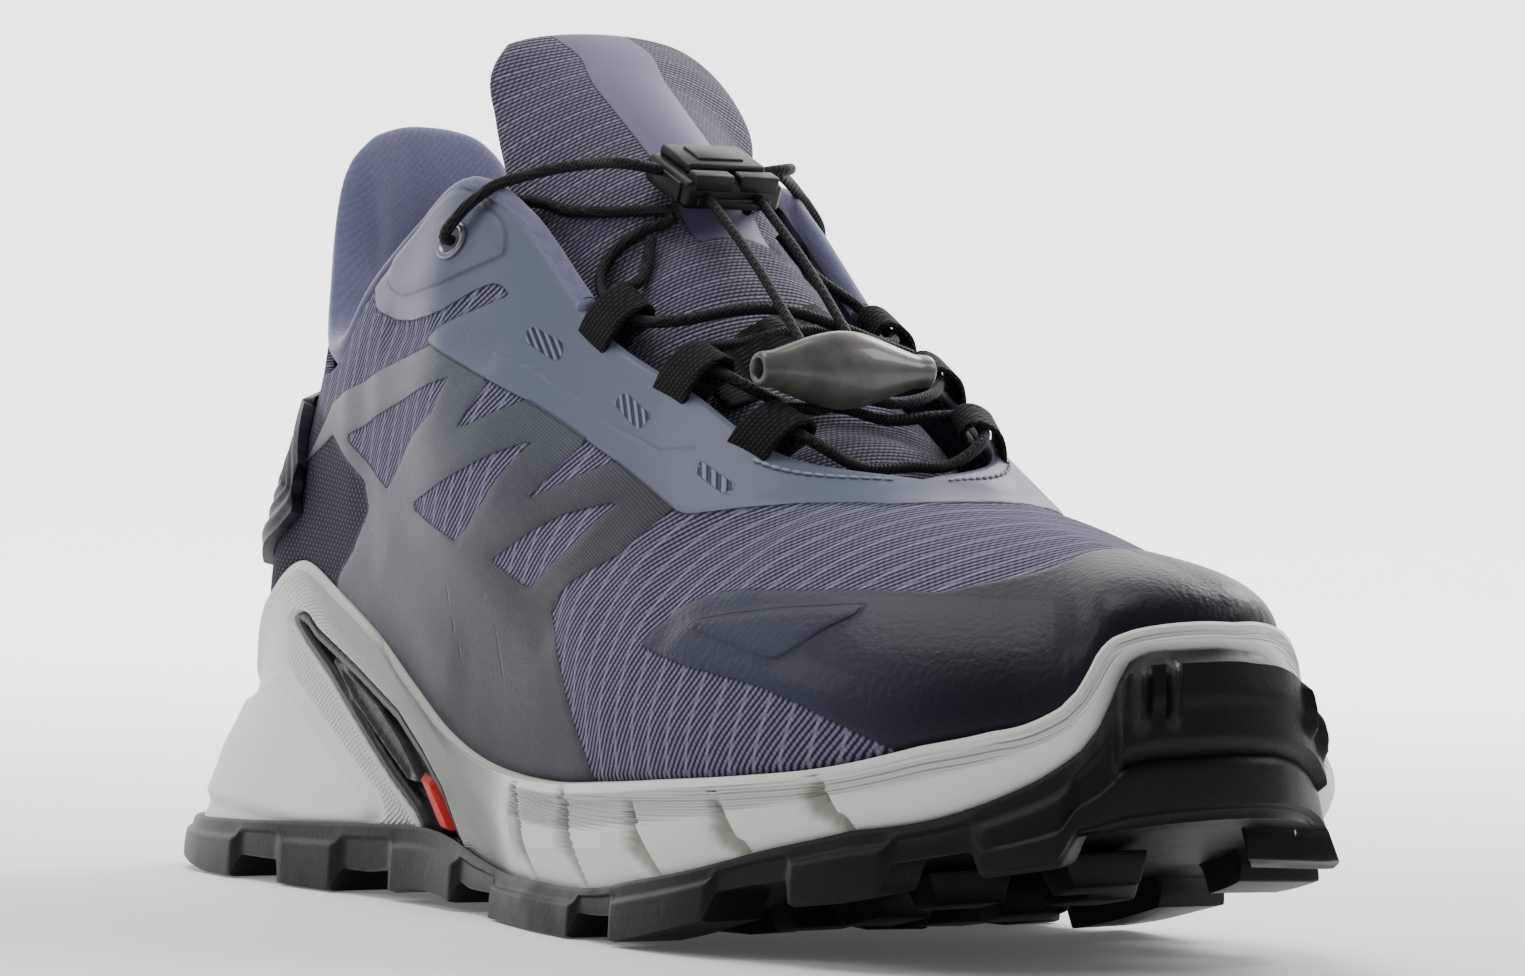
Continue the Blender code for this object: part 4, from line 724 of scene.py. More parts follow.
# Sole wall, where foam meets rubber, in the same rows: the heel's rows slant back as they rise.
# x of LENGTH, outer and inner y of BALL_WIDTH, outer and inner z of FOXING_HEIGHT,
# rubber's flare of BALL_WIDTH, how far the wall's middle stands out, of FOAM_LIP
SOLE = [
    (0.013, 0.00, 0.00, 0.165, 0.165, 0.022, -0.1),
    (0.027, 0.17, 0.155, 0.165, 0.165, 0.020, -0.1),
    (0.070, 0.335, 0.30, 0.165, 0.165, 0.012, -0.1),
    (0.160, 0.390, 0.350, 0.180, 0.180, 0.010, -0.3),
    (0.283, 0.39, 0.345, 0.210, 0.210, 0.008, -0.2),
    (0.387, 0.385, 0.335, 0.225, 0.225, 0.008, 0.6),
    (0.467, 0.42, 0.340, 0.165, 0.165, 0.008, 0.6),
    (0.507, 0.44, 0.350, 0.138, 0.138, 0.008, 0.6),
    (0.540, 0.465, 0.365, 0.138, 0.138, 0.008, 0.6),
    (0.570, 0.485, 0.38, 0.138, 0.138, 0.008, 0.6),
    (0.603, 0.50, 0.405, 0.138, 0.138, 0.008, 0.6),
    (0.647, 0.515, 0.435, 0.150, 0.150, 0.008, 0.6),
    (0.687, 0.52, 0.46, 0.185, 0.180, 0.008, 0.6),
    (0.740, 0.51, 0.470, 0.235, 0.220, 0.008, 0.6),
    (0.793, 0.475, 0.460, 0.305, 0.270, 0.010, 0.6),
    (0.847, 0.42, 0.425, 0.375, 0.320, 0.014, 0.6),
    (0.893, 0.34, 0.360, 0.470, 0.385, 0.020, 0.6),
    (0.933, 0.245, 0.265, 0.620, 0.490, 0.026, 0.6),
    (0.960, 0.16, 0.175, 0.81, 0.670, 0.032, 0.6),
    (0.977, 0.07, 0.09, 0.87, 0.830, 0.036, 0.6),
    (0.982, -0.02, 0.02, 0.88, 0.880, 0.038, 0.6),
]
# Underside of the rubber above the floor: x of LENGTH, z of LUG_HEIGHT
UNDERSIDE = [
    (0.00, 2.60), (0.05, 1.85), (0.10, 1.20), (0.13, 1.00), (0.16, 1.00), (0.28, 1.00), (0.32, 1.00),
    (0.38, 1.55), (0.42, 1.45), (0.46, 1.00), (0.50, 1.00), (0.63, 1.00), (0.66, 1.05), (0.70, 1.45),
    (0.74, 2.05), (0.78, 2.65), (0.84, 3.40), (0.90, 4.30), (0.95, 5.10), (1.00, 6.20),
]

# Slot and pod seen from the side, and the notches' tops, waists and feet
SLOT = [
    (0.1774, 0.378), (0.1820, 0.388), (0.1920, 0.391), (0.2030, 0.386), (0.2189, 0.367), (0.2840, 0.319),
    (0.3508, 0.265), (0.3882, 0.214), (0.4144, 0.165), (0.4330, 0.083), (0.445, -0.05), (0.385, -0.05),
    (0.3716, 0.100), (0.3612, 0.125), (0.3272, 0.170), (0.2773, 0.244), (0.2381, 0.302), (0.1971, 0.350),
]
POD = [
    (0.160, 0.305), (0.100, 0.262), (0.030, 0.240), (-0.1, 0.240), (-0.1, 0.105), (0.12, 0.098),
    (0.23, 0.090), (0.30, 0.100), (0.322, 0.118), (0.3127, 0.140), (0.260, 0.200), (0.205, 0.262),
]
NOTCHES = [
    [(0.5235, 0.185), (0.5390, 0.110), (0.5600, 0.050)],
    [(0.5955, 0.190), (0.6030, 0.130), (0.6303, 0.060)],
    [(0.6790, 0.190), (0.6871, 0.140), (0.7124, 0.085)],
    [(0.7590, 0.210), (0.7673, 0.166), (0.7890, 0.115)],
    [(0.8330, 0.240), (0.8359, 0.213), (0.8520, 0.160)],
]
# On the inner side the rubber's edge dips further behind the bumper, and the foam swells more there
INNER_DIP = 0.0052
INNER_SWELL = 0.0042


def underside(x):
    return np.maximum(read(UNDERSIDE, x / LENGTH)[..., 0], 1.0) * LUG_HEIGHT


def footbed(x):
    return read(FOOTBED, x / LENGTH)[..., 0] * FOOTBED_HEIGHT


def sole_row(row, y):
    return (row[0] * LENGTH, y * BALL_WIDTH, (row[4] if y > 0 else row[3]) * FOXING_HEIGHT,
            row[5] * BALL_WIDTH, row[6] * FOAM_LIP)


sole_rows = both_sides(SOLE, sole_row)


def sole_line(places):
    """The rubber's upper edge at the given places."""
    line = follow(sole_rows, places)
    near = np.abs(np.asarray(places) - ROWS / 2)
    line[:, 2] += np.interp(near, TOE_ARCH[:, 0], TOE_ARCH[:, 2])
    line[:, 2] -= np.where(places > ROWS / 2, INNER_DIP, 0) * hill(np.abs(near - 2.5), 1.3)
    line[:, 4] += np.where(places > ROWS / 2, INNER_SWELL, 0) * hill(np.abs(near - 2.9), 1.4)
    return line


def foam_wall(places, shares):
    """Points of the foam's side wall, from the rubber's edge up to its lip, with the ways out."""
    low, high = sole_line(places), feather_line(places)
    n, m = outward(sole_rows, places), outward(feather_rows, places)
    s = np.asarray(shares)[None, :, None]
    swell = unit(n + m)[:, None] * np.sin(math.pi * s) * low[:, None, 4:5]
    lip = high[:, :3] + m * FOAM_LIP
    points = low[:, None, :3] * (1 - s) + lip[:, None] * s + swell
    return points, grid_normals(points)


def notch_depth(points):
    """How deep the notches cut, wide at their waists."""
    depth = np.zeros(points.shape[:-1])
    size = np.array([LENGTH, INSTEP_HEIGHT])
    flat = points[..., (0, 2)]
    for line in NOTCHES:
        for (a, b), (wide, narrow) in zip(zip(line, line[1:]), ((0.0010, 0.0036), (0.0036, 0.0010))):
            a, b = np.array(a) * size, np.array(b) * size
            way = b - a
            share = np.clip(((flat - a) @ way) / (way @ way), 0, 1)
            gap = flat - a - share[..., None] * way
            side = gap[..., 0]
            width = wide + (narrow - wide) * share
            away = np.linalg.norm(gap, axis=-1)
            reach = np.where(side < 0, width * 1.2, width * 0.35)
            depth = np.maximum(depth, np.clip(1 - away / reach, 0, 1) * (0.0012 + width * 0.80))
    return depth


# How far the foam's pod and bands stand out, and how deep its slot lies, in metres
POD_RISE, POD_SWELL, SLOT_RIM, SLOT_DEPTH = 0.0016, 0.0008, 0.0007, 0.0036
BALL_BAND, HEEL_BAND, LIP_ROLL = 0.0009, 0.0010, 0.0016


def foam_detail(places, shares):
    """The foam's side wall with its relief, and marks for its finish: ribs, painted shade in the notches,
    depth below its lip.
    """
    points, out = foam_wall(places, shares)
    out = out if places[-1] > places[0] else -out
    slot = inside(points, SLOT)
    pod = inside(points, POD)
    level = np.asarray(shares)[None, :]
    high = np.broadcast_to(level, slot.shape)
    x = points[..., 0] / LENGTH
    lift = POD_RISE * ease(pod, -0.0004, 0.0016) + POD_SWELL * ease(pod, 0.0, 0.012)
    lift += SLOT_RIM * hill(np.abs(slot + 0.0014), 0.0016)
    lift -= SLOT_DEPTH * ease(slot, -0.0004, 0.0006)
    lift -= notch_depth(points)
    lift += BALL_BAND * ease(high, 0.80, 0.86) * ease(x, 0.45, 0.60)
    lift += HEEL_BAND * ease(high, 0.90, 0.97) * (1 - ease(x, 0.10, 0.20))
    lift -= LIP_ROLL * ease(high, 0.965, 1.0)
    ribs = (ease(-slot, 0.0006, 0.0014) * ease(-pod, 0.0010, 0.0020) * (1 - ease(x, 0.46, 0.52))
            * ease(x, 0.12, 0.2))
    ribs = np.maximum(ribs, ease(x, 0.50, 0.56) * ease(high, 0.52, 0.62) * (1 - ease(high, 0.86, 0.90)))
    ribs = ribs * (1 - ease(high, 0.95, 0.98))
    # Mask of the painted shade in the notches' hollows
    notch_shade = ease(notch_depth(points), 0.0004, 0.0014)
    below = (1 - level) * np.linalg.norm(points[:, -1:] - points[:, :1], axis=-1)
    return points + out * lift[..., None], np.stack([ribs, notch_shade, below])


def join_ends(outer, inner):
    """Makes the two sides meet at the heel and at the toe."""
    for end in (0, -1):
        outer[end] = inner[end] = (outer[end] + inner[end]) / 2


HALF = ROWS / 2
fine = [np.linspace(0, 3.5, 43)[:-1], np.linspace(3.5, 7.2, 150)[:-1], np.linspace(7.2, HALF, 200)]
stations = np.concatenate(fine)
levels = np.concatenate([np.linspace(0, 0.9, 84)[:-1], np.linspace(0.9, 1.0, 14)])
outer, outer_marks = foam_detail(stations, levels)
inner, inner_marks = foam_detail(ROWS - stations, levels)
join_ends(outer, inner)


def bed_line(places):
    low = feather_line(places)
    spot = low[:, :3] - outward(feather_rows, places) * (low[:, 3:4] - CLEARANCE * 2)
    spot[:, 2] = footbed(spot[:, 0])
    return spot


def across(start, finish, count):
    t = np.linspace(0, 1, count + 2)[1:-1][None, :, None]
    return start[:, None] * (1 - t) + finish[:, None] * t


def lip_line(places):
    return feather_line(places)[:, :3] + outward(feather_rows, places) * CLEARANCE


outer_lip, inner_lip = lip_line(stations)[:, None], lip_line(ROWS - stations)[:, None]
outer_bed, inner_bed = bed_line(stations)[:, None], bed_line(ROWS - stations)[:, None]
outer_base, inner_base = outer[:, :1].copy(), inner[:, :1].copy()
for base in (outer_base, inner_base):
    base[..., 2] = underside(base[..., 0]) + RUBBER_THICKNESS + CLEARANCE
for pair in ((outer_lip, inner_lip), (outer_bed, inner_bed), (outer_base, inner_base)):
    join_ends(*pair)
ring = [outer, outer_lip, outer_bed, across(outer_bed[:, 0], inner_bed[:, 0], 5), inner_bed, inner_lip,
        inner[:, ::-1], inner_base, across(inner_base[:, 0], outer_base[:, 0], 5), outer_base, outer[:, :1]]
points = np.concatenate(ring, axis=1)
marks = np.zeros((3, *points.shape[:2]))
marks[:, :, :len(levels)] = outer_marks
start = len(levels) + 9
marks[:, :, start:start + len(levels)] = inner_marks[:, :, ::-1]

foam = Finish("pale_foam", "foam", paint(218, 222, 213), 0.62)
slant = (foam.value("below") / 0.00110).wave()
pores = foam.grain(1800, 2)
soil = foam.grain(45, 4).fade(0.55, 0.8)
colour = foam.mix(soil * 0.25, paint(214, 219, 208), paint(192, 198, 184))
# Painted shade: the foam turns olive grey in the notches' hollows, where shade would fall.
foam.feed({"Base Color": foam.mix(foam.value("notch_shade") * 0.75, colour, paint(132, 134, 116))})
foam.bump(slant * foam.value("ribs") + pores * 0.06, 0.0007, 1.0)
add_piece("foam_cup", sheet(points, dict(zip(("ribs", "notch_shade", "below"), marks))), foam, "midsole", sharp=70)


# Side frames. A dark moulded plastic frame stiffens the heel: it shows in the slot of the foam on
# each side, with a raised inner panel and a small red inlay near its foot.
FRAME_PANEL = [(0.232, 0.335), (0.262, 0.318), (0.315, 0.268), (0.345, 0.225), (0.372, 0.165), (0.350, 0.165),
               (0.318, 0.208), (0.272, 0.270)]
INLAY = [(0.368, 0.180), (0.386, 0.172), (0.408, 0.105), (0.392, 0.108)]
FRAME_CUT = 0.0012
frame_places = np.linspace(4.2, 7.0, 130)
frame_shares = np.linspace(-0.02, 1.0, 70)
plastic = Finish("dark_frame", "frame", paint(34, 38, 47), 0.42, {"Specular IOR Level": 0.25})
red = plastic.value("inlay").fade(-0.0001, 0.0001)
rough = plastic.grain(1300, 2)
panel_dots = plastic.value("panel").fade(0.0002, 0.0008) * plastic.grain(420, 2).fade(0.4, 0.7)
plastic.feed({"Base Color": plastic.mix(red, paint(17, 20, 27), paint(196, 34, 30))})
plastic.bump(rough * 0.15 + panel_dots * 0.5, 0.0003, 0.7)
for side, name in ((-1, "lateral"), (1, "medial")):
    spots = frame_places if side < 0 else ROWS - frame_places
    points, out = foam_wall(spots, frame_shares)
    out = out if side < 0 else -out
    slot, panel, inlay = inside(points, SLOT), inside(points, FRAME_PANEL), inside(points, INLAY)
    lift = (0.0002 - 0.0024 * ease(slot, 0.0016, 0.0026) + 0.0020 * ease(panel, -0.0003, 0.0006)
            - 0.0007 * ease(panel, 0.0010, 0.0016) + 0.0022 * ease(inlay, -0.0002, 0.0004)
            - 0.0026 * ease(-slot, -0.0004, 0.0008))
    points = points + out * lift[..., None]
    bm = sheet(points, {"panel": panel, "inlay": inlay, "slot": slot})
    layer = bm.verts.layers.float["slot"]
    far = [face for face in bm.faces if max(v[layer] for v in face.verts) < -FRAME_CUT]
    bmesh.ops.delete(bm, geom=far, context="FACES")
    thicken(add_piece("frame_" + name, bm, plastic, "side_frame_" + name), 0.0010)


# Outsole. One moulding of black rubber, cemented under the foam and up over the toe as a bumper,
# with square blocks along both edges and smaller turned blocks between them.
RUBBER_LIP = 0.0014
LUG_LENGTH = 0.0120
LUG_WIDTH = 0.0150
LUG_TAPER = 0.78
EDGE_LUG_REACH = 0.0125
LUG_ROWS = [
    (0.055, 2, 30), (0.115, 3, 12), (0.175, 3, -12), (0.235, 3, 12), (0.295, 3, -12),
    (0.505, 3, 12), (0.565, 4, -12), (0.625, 4, 12), (0.685, 4, -12), (0.745, 4, 12),
    (0.805, 4, -12), (0.865, 3, 12), (0.922, 2, -8),
]

# Blocks along the edges: where each starts and ends, in metres from the heel
EDGE_BLOCKS = [(0.010, 0.050), (0.064, 0.087), (0.103, 0.132), (0.147, 0.189), (0.200, 0.229), (0.243, 0.262),
               (0.272, 0.285)]
# How far the blocks, the bumper's block, its teeth and its step stand out, in metres
BLOCK_RISE, BUMPER_RISE, TOOTH_RISE, STEP_RISE = 0.0014, 0.0034, 0.0022, 0.0016


def lug_mask(x):
    """1 over the blocks along the edges, 0 between them."""
    mask = np.zeros_like(x)
    for start, finish in EDGE_BLOCKS:
        mask = np.maximum(mask, ease(np.minimum(x - start, finish - x), 0, 0.0022))
    return mask


def rubber_side(places):
    """Section of the rubber at one side: its bed, its edge, its wall and the blocks below."""
    low, n = sole_line(places), outward(sole_rows, places)
    p, flare = low[:, :3], low[:, 3:4]
    mask = lug_mask(p[:, 0])[:, None]
    front = ease(p[:, 0] / LENGTH, 0.90, 0.955)[:, None]
    near = np.abs(places - ROWS / 2)
    block = ease(2.02 - near, 0, 0.14)[:, None]
    side = np.where(places < ROWS / 2, 1.0, 0.7)
    teeth = (hill(np.abs(near - 1.66), 0.15) + hill(np.abs(near - 1.26), 0.12))[:, None] * side[:, None]
    floor_z = underside(p[:, 0])[:, None]
    up = np.array([[0, 0, 1.0]])
    edge = p + n * (CLEARANCE + RUBBER_LIP)
    foot = p + n * (flare + CLEARANCE + RUBBER_LIP)
    foot[:, 2:] = np.maximum(floor_z - LUG_HEIGHT * mask, 0.0002)
    line = [p + n * CLEARANCE - up * (p[:, 2:] - floor_z - RUBBER_THICKNESS), p + n * CLEARANCE,
            p + n * (CLEARANCE + RUBBER_LIP * 0.7) + up * 0.0003]
    for s in np.linspace(0.02, 0.97, 30):
        bulge = n * flare * 0.25 * math.sin(math.pi * s)
        relief = BLOCK_RISE * ease(s, 0.22, 0.34) * (mask - 0.45)
        top_block = front * block * (BUMPER_RISE * ease(s, 0.01, 0.05) * (1 - ease(s, 0.50, 0.66)))
        tooth = front * block * teeth * TOOTH_RISE * ease(s, 0.03, 0.10) * (1 - ease(s, 0.34, 0.44))
        steps = front * STEP_RISE * (ease(s, 0.62, 0.65) - ease(s, 0.90, 0.95))
        line.append(edge * (1 - s) + foot * s + bulge + n * (relief + top_block + tooth + steps))
    line.append(foot - n * 0.0005)
    line.append(foot - n * EDGE_LUG_REACH * 0.5)
    line.append(foot - n * EDGE_LUG_REACH)
    deep = foot - n * (EDGE_LUG_REACH + 0.0012)
    deep[:, 2:] = floor_z
    line.append(deep + up * 0.0005)
    return np.stack(line, axis=1)


rubber_stations = np.linspace(0, ROWS / 2, 560)
outer = rubber_side(rubber_stations)
inner = rubber_side(ROWS - rubber_stations)
join_ends(outer, inner)
points = np.concatenate([outer, across(outer[:, -1], inner[:, -1], 6), inner[:, ::-1],
                         across(inner[:, 0], outer[:, 0], 4), outer[:, :1]], axis=1)
bm = sheet(points)

for share, count, turn in LUG_ROWS:
    x = share * LENGTH
    sides = [sole_line(span)[:, :2] for span in (np.linspace(0, HALF, 400), np.linspace(ROWS, HALF, 400))]
    start, finish = (line[np.argmin(np.abs(line[:, 0] - x)), 1] for line in sides)
    width = min(LUG_WIDTH, (finish - start) / count * 0.74)
    slope = math.atan2(float(underside(np.array(x + 0.006)) - underside(np.array(x - 0.006))), 0.012)
    for number in range(1, count - 1):
        t = number / (count - 1)
        y = (start + width / 2) * (1 - t) + (finish - width / 2) * t
        made = bmesh.ops.create_cube(bm, size=1.0)["verts"]
        for v in made:
            taper = LUG_TAPER if v.co.z < 0 else 1.0
            v.co = Vector((v.co.x * LUG_LENGTH * taper, v.co.y * width * taper,
                           v.co.z * (LUG_HEIGHT + 0.001)))
        middle = max(float(underside(np.array(x))) - LUG_HEIGHT / 2, abs(math.sin(slope)) * 0.012 + 0.0030)
        twist = Matrix.Rotation(math.radians(turn if t < 0.5 else -turn), 4, "Z")
        spin = Matrix.Rotation(-slope, 4, "Y") @ twist
        bmesh.ops.transform(bm, matrix=Matrix.Translation((x, y, middle)) @ spin, verts=made)
        edges = {edge for v in made for edge in v.link_edges}
        bmesh.ops.bevel(bm, geom=list(edges), offset=0.0007, segments=2, profile=0.5, affect="EDGES",
                        material=-1)

rubber = Finish("black_rubber", "rubber", paint(24, 27, 34), 0.55, {"Specular IOR Level": 0.2})
dust = rubber.grain(50, 4).fade(0.5, 0.8)
rubber.feed({"Base Color": rubber.mix(dust * 0.3, paint(7, 9, 13), paint(20, 23, 30)),
             "Roughness": dust * 0.2 + 0.45})
rubber.bump(rubber.grain(1500, 3) * 0.5 + rubber.grain(200, 3), 0.0002, 0.5)
add_piece("rubber_sole", bm, rubber, "outsole", sharp=38)


# Heel clip. A shield moulded in dark rubber and welded on the back of the heel, over the cloth.
# Nested ridges run round it inside a thick rim.
HEEL_CLIP = [(-0.05, 0.448), (0.060, 0.448), (0.090, 0.455), (0.150, 0.510), (0.168, 0.535), (0.174, 0.565),
             (0.165, 0.600), (0.115, 0.700), (0.095, 0.735), (0.066, 0.762), (-0.05, 0.765)]
CLIP_THICKNESS = 0.0022
clip_places = np.linspace(-5, 5, 241)
points = upper_wall(clip_places, np.linspace(0.0, 0.8, 90))
out = grid_normals(points)
edge = inside(points, HEEL_CLIP)
ridges = ease(edge, 0.0035, 0.0045) * (0.5 + 0.5 * np.cos(edge / 0.0026 * math.tau)) * 0.0007
rim = 0.0006 * hill(np.abs(edge - 0.0016), 0.0018)
step = 0.0004 * ease(edge, 0.003, 0.004)
points = points + out * (CLIP_THICKNESS + 0.0008 + rim - step + ridges)[..., None]
bm = sheet(points)
for (x0, z0), (x1, z1) in zip(HEEL_CLIP, HEEL_CLIP[1:]):
    a = Vector((x0 * LENGTH, 0, z0 * INSTEP_HEIGHT))
    way = Vector((x1 * LENGTH, 0, z1 * INSTEP_HEIGHT)) - a
    bmesh.ops.bisect_plane(bm, geom=bm.verts[:] + bm.edges[:] + bm.faces[:], plane_co=a,
                           plane_no=Vector((way.z, 0, -way.x)), clear_outer=True)
shield = Finish("heel_shield", "frame", paint(26, 30, 40), 0.5, {"Specular IOR Level": 0.2})
shield.bump(shield.grain(1400, 2), 0.0001, 0.4)
clip = add_piece("heel_shield", bm, shield, "heel_clip", sharp=80)
thicken(clip, CLIP_THICKNESS)
soften(clip, 0.0006, 3, 60)


# Insole. A thin foam sheet with a knitted face on top. It is cut to the inside of the shoe and
# lies loose on the foam cup's bed.
INSOLE_THICKNESS = 0.0040
bed_places = np.linspace(0.0, HALF, 120)


def sock_edge(places):
    low = feather_line(places)
    spot = low[:, :3] - outward(feather_rows, places) * (low[:, 3:4] + UPPER_WALL + CLEARANCE * 4)
    spot[:, 2] = footbed(spot[:, 0]) + CLEARANCE
    return spot


up = np.array([[0, 0, 1.0]])
outer, inner = sock_edge(bed_places), sock_edge(ROWS - bed_places)
join_ends(outer, inner)
high = up * INSOLE_THICKNESS
rise = [outer + high * t for t in (0, 0.35, 0.7)] + [outer * 0.98 + inner * 0.02 + high]
fall = [inner * 0.98 + outer * 0.02 + high] + [inner + high * t for t in (0.7, 0.35, 0)]
points = np.concatenate([np.stack(rise, 1), across(rise[-1], fall[0], 10), np.stack(fall, 1),
                         across(inner, outer, 4), outer[:, None]], axis=1)
sock = Finish("sock_knit", "lining", paint(88, 90, 118), 0.95, {"Sheen Weight": 0.2})
sock.bump(sock.grain(1500, 3), 0.0003, 0.6)
add_piece("insole_sheet", sheet(points), sock, "insole")


# Collar. Soft foam wrapped in brushed knit, sewn inside the upper's top edge, and drawn up at the
# back as a tall tab for the fingers.

# Collar roll and heel tab above the top line, same first rows.
# x of LENGTH, outer and inner y of BALL_WIDTH, z of TAB_HEIGHT, thickness of COLLAR_PAD,
# share of the wall's height where the lining ends below
COLLAR = [
    (0.088, -0.06, 0.06, 1.000, 0.95, 0.50),
    (0.089, 0.00, 0.14, 0.995, 0.95, 0.50),
    (0.094, 0.06, 0.20, 0.978, 0.95, 0.50),
    (0.104, 0.12, 0.245, 0.934, 1.00, 0.50),
    (0.123, 0.165, 0.275, 0.825, 1.00, 0.50),
    (0.152, 0.215, 0.30, 0.735, 0.95, 0.50),
    (0.192, 0.255, 0.315, 0.725, 0.90, 0.50),
    (0.240, 0.28, 0.325, 0.795, 0.80, 0.55),
    (0.297, 0.285, 0.345, 0.870, 0.60, 0.70),
    (0.343, 0.265, 0.365, 0.935, 0.35, 0.84),
]

COLLAR_PAD = 0.0065
# A point inside the shoe, which tells inwards from outwards
HOLLOW = np.array([0.08, 0.002, 0.05])


def wall_inside(places, share, depth):
    """Points of the upper's inner face, moved in by a depth."""
    shares = np.stack([share - 0.01, share, share + 0.01], 1)
    rows = []
    for place, trio in zip(places, shares):
        near = upper_wall(np.array([place - 0.05, place, place + 0.05]), trio)
        out = np.cross(near[2, 1] - near[0, 1], near[1, 2] - near[1, 0])
        rows.append(near[1, 1] - out / np.linalg.norm(out) * depth)
    return np.array(rows)


seats = len(COLLAR) - 1
collar_rows = np.array(
    [(r[0] * LENGTH, r[2] * BALL_WIDTH, r[3] * TAB_HEIGHT, r[4], r[5]) for r in COLLAR[::-1]]
    + [(r[0] * LENGTH, -r[1] * BALL_WIDTH, r[3] * TAB_HEIGHT, r[4], r[5]) for r in COLLAR[1:]])
turns = np.linspace(0, 2 * seats, 150)
slopes = np.gradient(collar_rows, axis=0)
i = np.minimum(turns.astype(int), 2 * seats - 1)
t = (turns - i)[:, None]
line = bend(collar_rows[i], collar_rows[i + 1], slopes[i], slopes[i + 1], t)
places = ROWS - seats + turns
peak, thick, low = line[:, :3], line[:, 3], line[:, 4]
ends = np.minimum(turns, 2 * seats - turns)
close = np.sqrt(np.clip(1 - (1 - np.clip(ends / 0.35, 0, 1))**2, 0, 1))
pad = (thick * COLLAR_PAD * (0.25 + 0.75 * close))[:, None]
gap = UPPER_WALL + CLEARANCE * 2
edge = upper_wall(places, np.array([0.98, 1.0]))[:, 1]
out = outward(top_rows, places)
for k in range(len(places)):
    if np.dot(out[k], upper_wall(places[k:k + 1], np.array([0.5]))[0, 0] - HOLLOW) < 0:
        out[k] = -out[k]
over = edge + up * CLEARANCE * 2
half_way, top = (low + 1) / 2, low * 0 + 0.985
mean_pad = pad[:, 0].mean()
section = np.stack([
    wall_inside(places, low, gap), wall_inside(places, half_way, gap), wall_inside(places, top, gap),
    over - out * gap, over * 0.5 + peak * 0.5 + out * 0.0004, peak,
    peak - out * pad * 0.6 - up * pad * 0.10, over * 0.6 + peak * 0.4 - out * (gap + pad * 0.9),
    wall_inside(places, half_way, gap + mean_pad * 0.95), wall_inside(places, low, gap + mean_pad * 0.4),
], axis=1)
middle = section.mean(axis=1, keepdims=True)
section = middle + (section - middle) * (0.02 + 0.98 * close)[:, None, None]
around = np.stack([follow(ring, np.linspace(0, 10, 61)) for ring in section])
lining = Finish("brushed_knit", "lining", paint(96, 98, 130), 0.95,
                {"Sheen Weight": 0.5, "Sheen Roughness": 0.4})
x, y, z = lining.place()
row = ((x * 0.5 + z * 0.9 - y * 0.6) / 0.0009).wave()
nap = lining.grain(1600, 3)
lining.feed({"Base Color": lining.mix(row * 0.15 + nap * 0.6, paint(80, 82, 112), paint(122, 124, 156))})
lining.bump(row * 0.15 + nap * 0.6, 0.0003, 0.5)
bm = sheet(around)
bmesh.ops.smooth_vert(bm, verts=bm.verts, factor=0.5, use_axis_x=True, use_axis_y=True,
                      use_axis_z=True)
collar = add_piece("collar_pad", bm, lining, "collar_lining", sharp=180)


# Tongue. A padded knit flap with a smooth strip down its middle, sewn under the throat's lower end;
# the lace presses soft troughs across it.
TONGUE_THICKNESS = 0.0045
TONGUE_HEIGHT = 0.156
# Tongue: x of LENGTH, crown z of TONGUE_HEIGHT, half width, drop at the edge and middle of BALL_WIDTH
TONGUE = [
    (0.303, 0.985, 0.180, 0.010, 0.060),
    (0.313, 0.977, 0.235, 0.050, 0.065),
    (0.330, 0.960, 0.265, 0.110, 0.075),
    (0.353, 0.932, 0.258, 0.170, 0.053),
    (0.383, 0.892, 0.265, 0.250, 0.045),
    (0.423, 0.833, 0.270, 0.290, 0.045),
    (0.463, 0.767, 0.285, 0.310, 0.045),
    (0.500, 0.702, 0.300, 0.270, 0.045),
    (0.550, 0.622, 0.295, 0.200, 0.045),
    (0.590, 0.568, 0.280, 0.160, 0.040),
    (0.643, 0.506, 0.240, 0.120, 0.035),
    (0.680, 0.462, 0.200, 0.080, 0.030),
    (0.717, 0.440, 0.180, 0.060, 0.030),
]
TONGUE_BEND = 2.2

# Where the lace presses on the tongue: two ends of each run, x and y in metres
PRESSED = [
    ((0.136, -0.016), (0.140, 0.022)), ((0.157, -0.020), (0.160, 0.026)), ((0.180, -0.018), (0.166, 0.026)),
    ((0.180, -0.018), (0.184, 0.024)), ((0.196, -0.012), (0.197, 0.020)),
]
PRESS_REACH, PRESS_DEPTH = 0.0075, 0.0019


def tongue_face(x, y):
    """Height of the tongue's outer face."""
    row = read(TONGUE, x / LENGTH)
    reach = np.minimum(np.abs(y / BALL_WIDTH - row[..., 3]) / row[..., 1], 1.15)
    z = row[..., 0] * TONGUE_HEIGHT - row[..., 2] * BALL_WIDTH * reach**TONGUE_BEND
    flat = np.stack([x, y], -1)
    press = np.zeros_like(z)
    for a, b in PRESSED:
        press = np.maximum(press, hill(beside(flat, np.array(a), np.array(b)), PRESS_REACH))
    return z + 0.0012 - press * PRESS_DEPTH


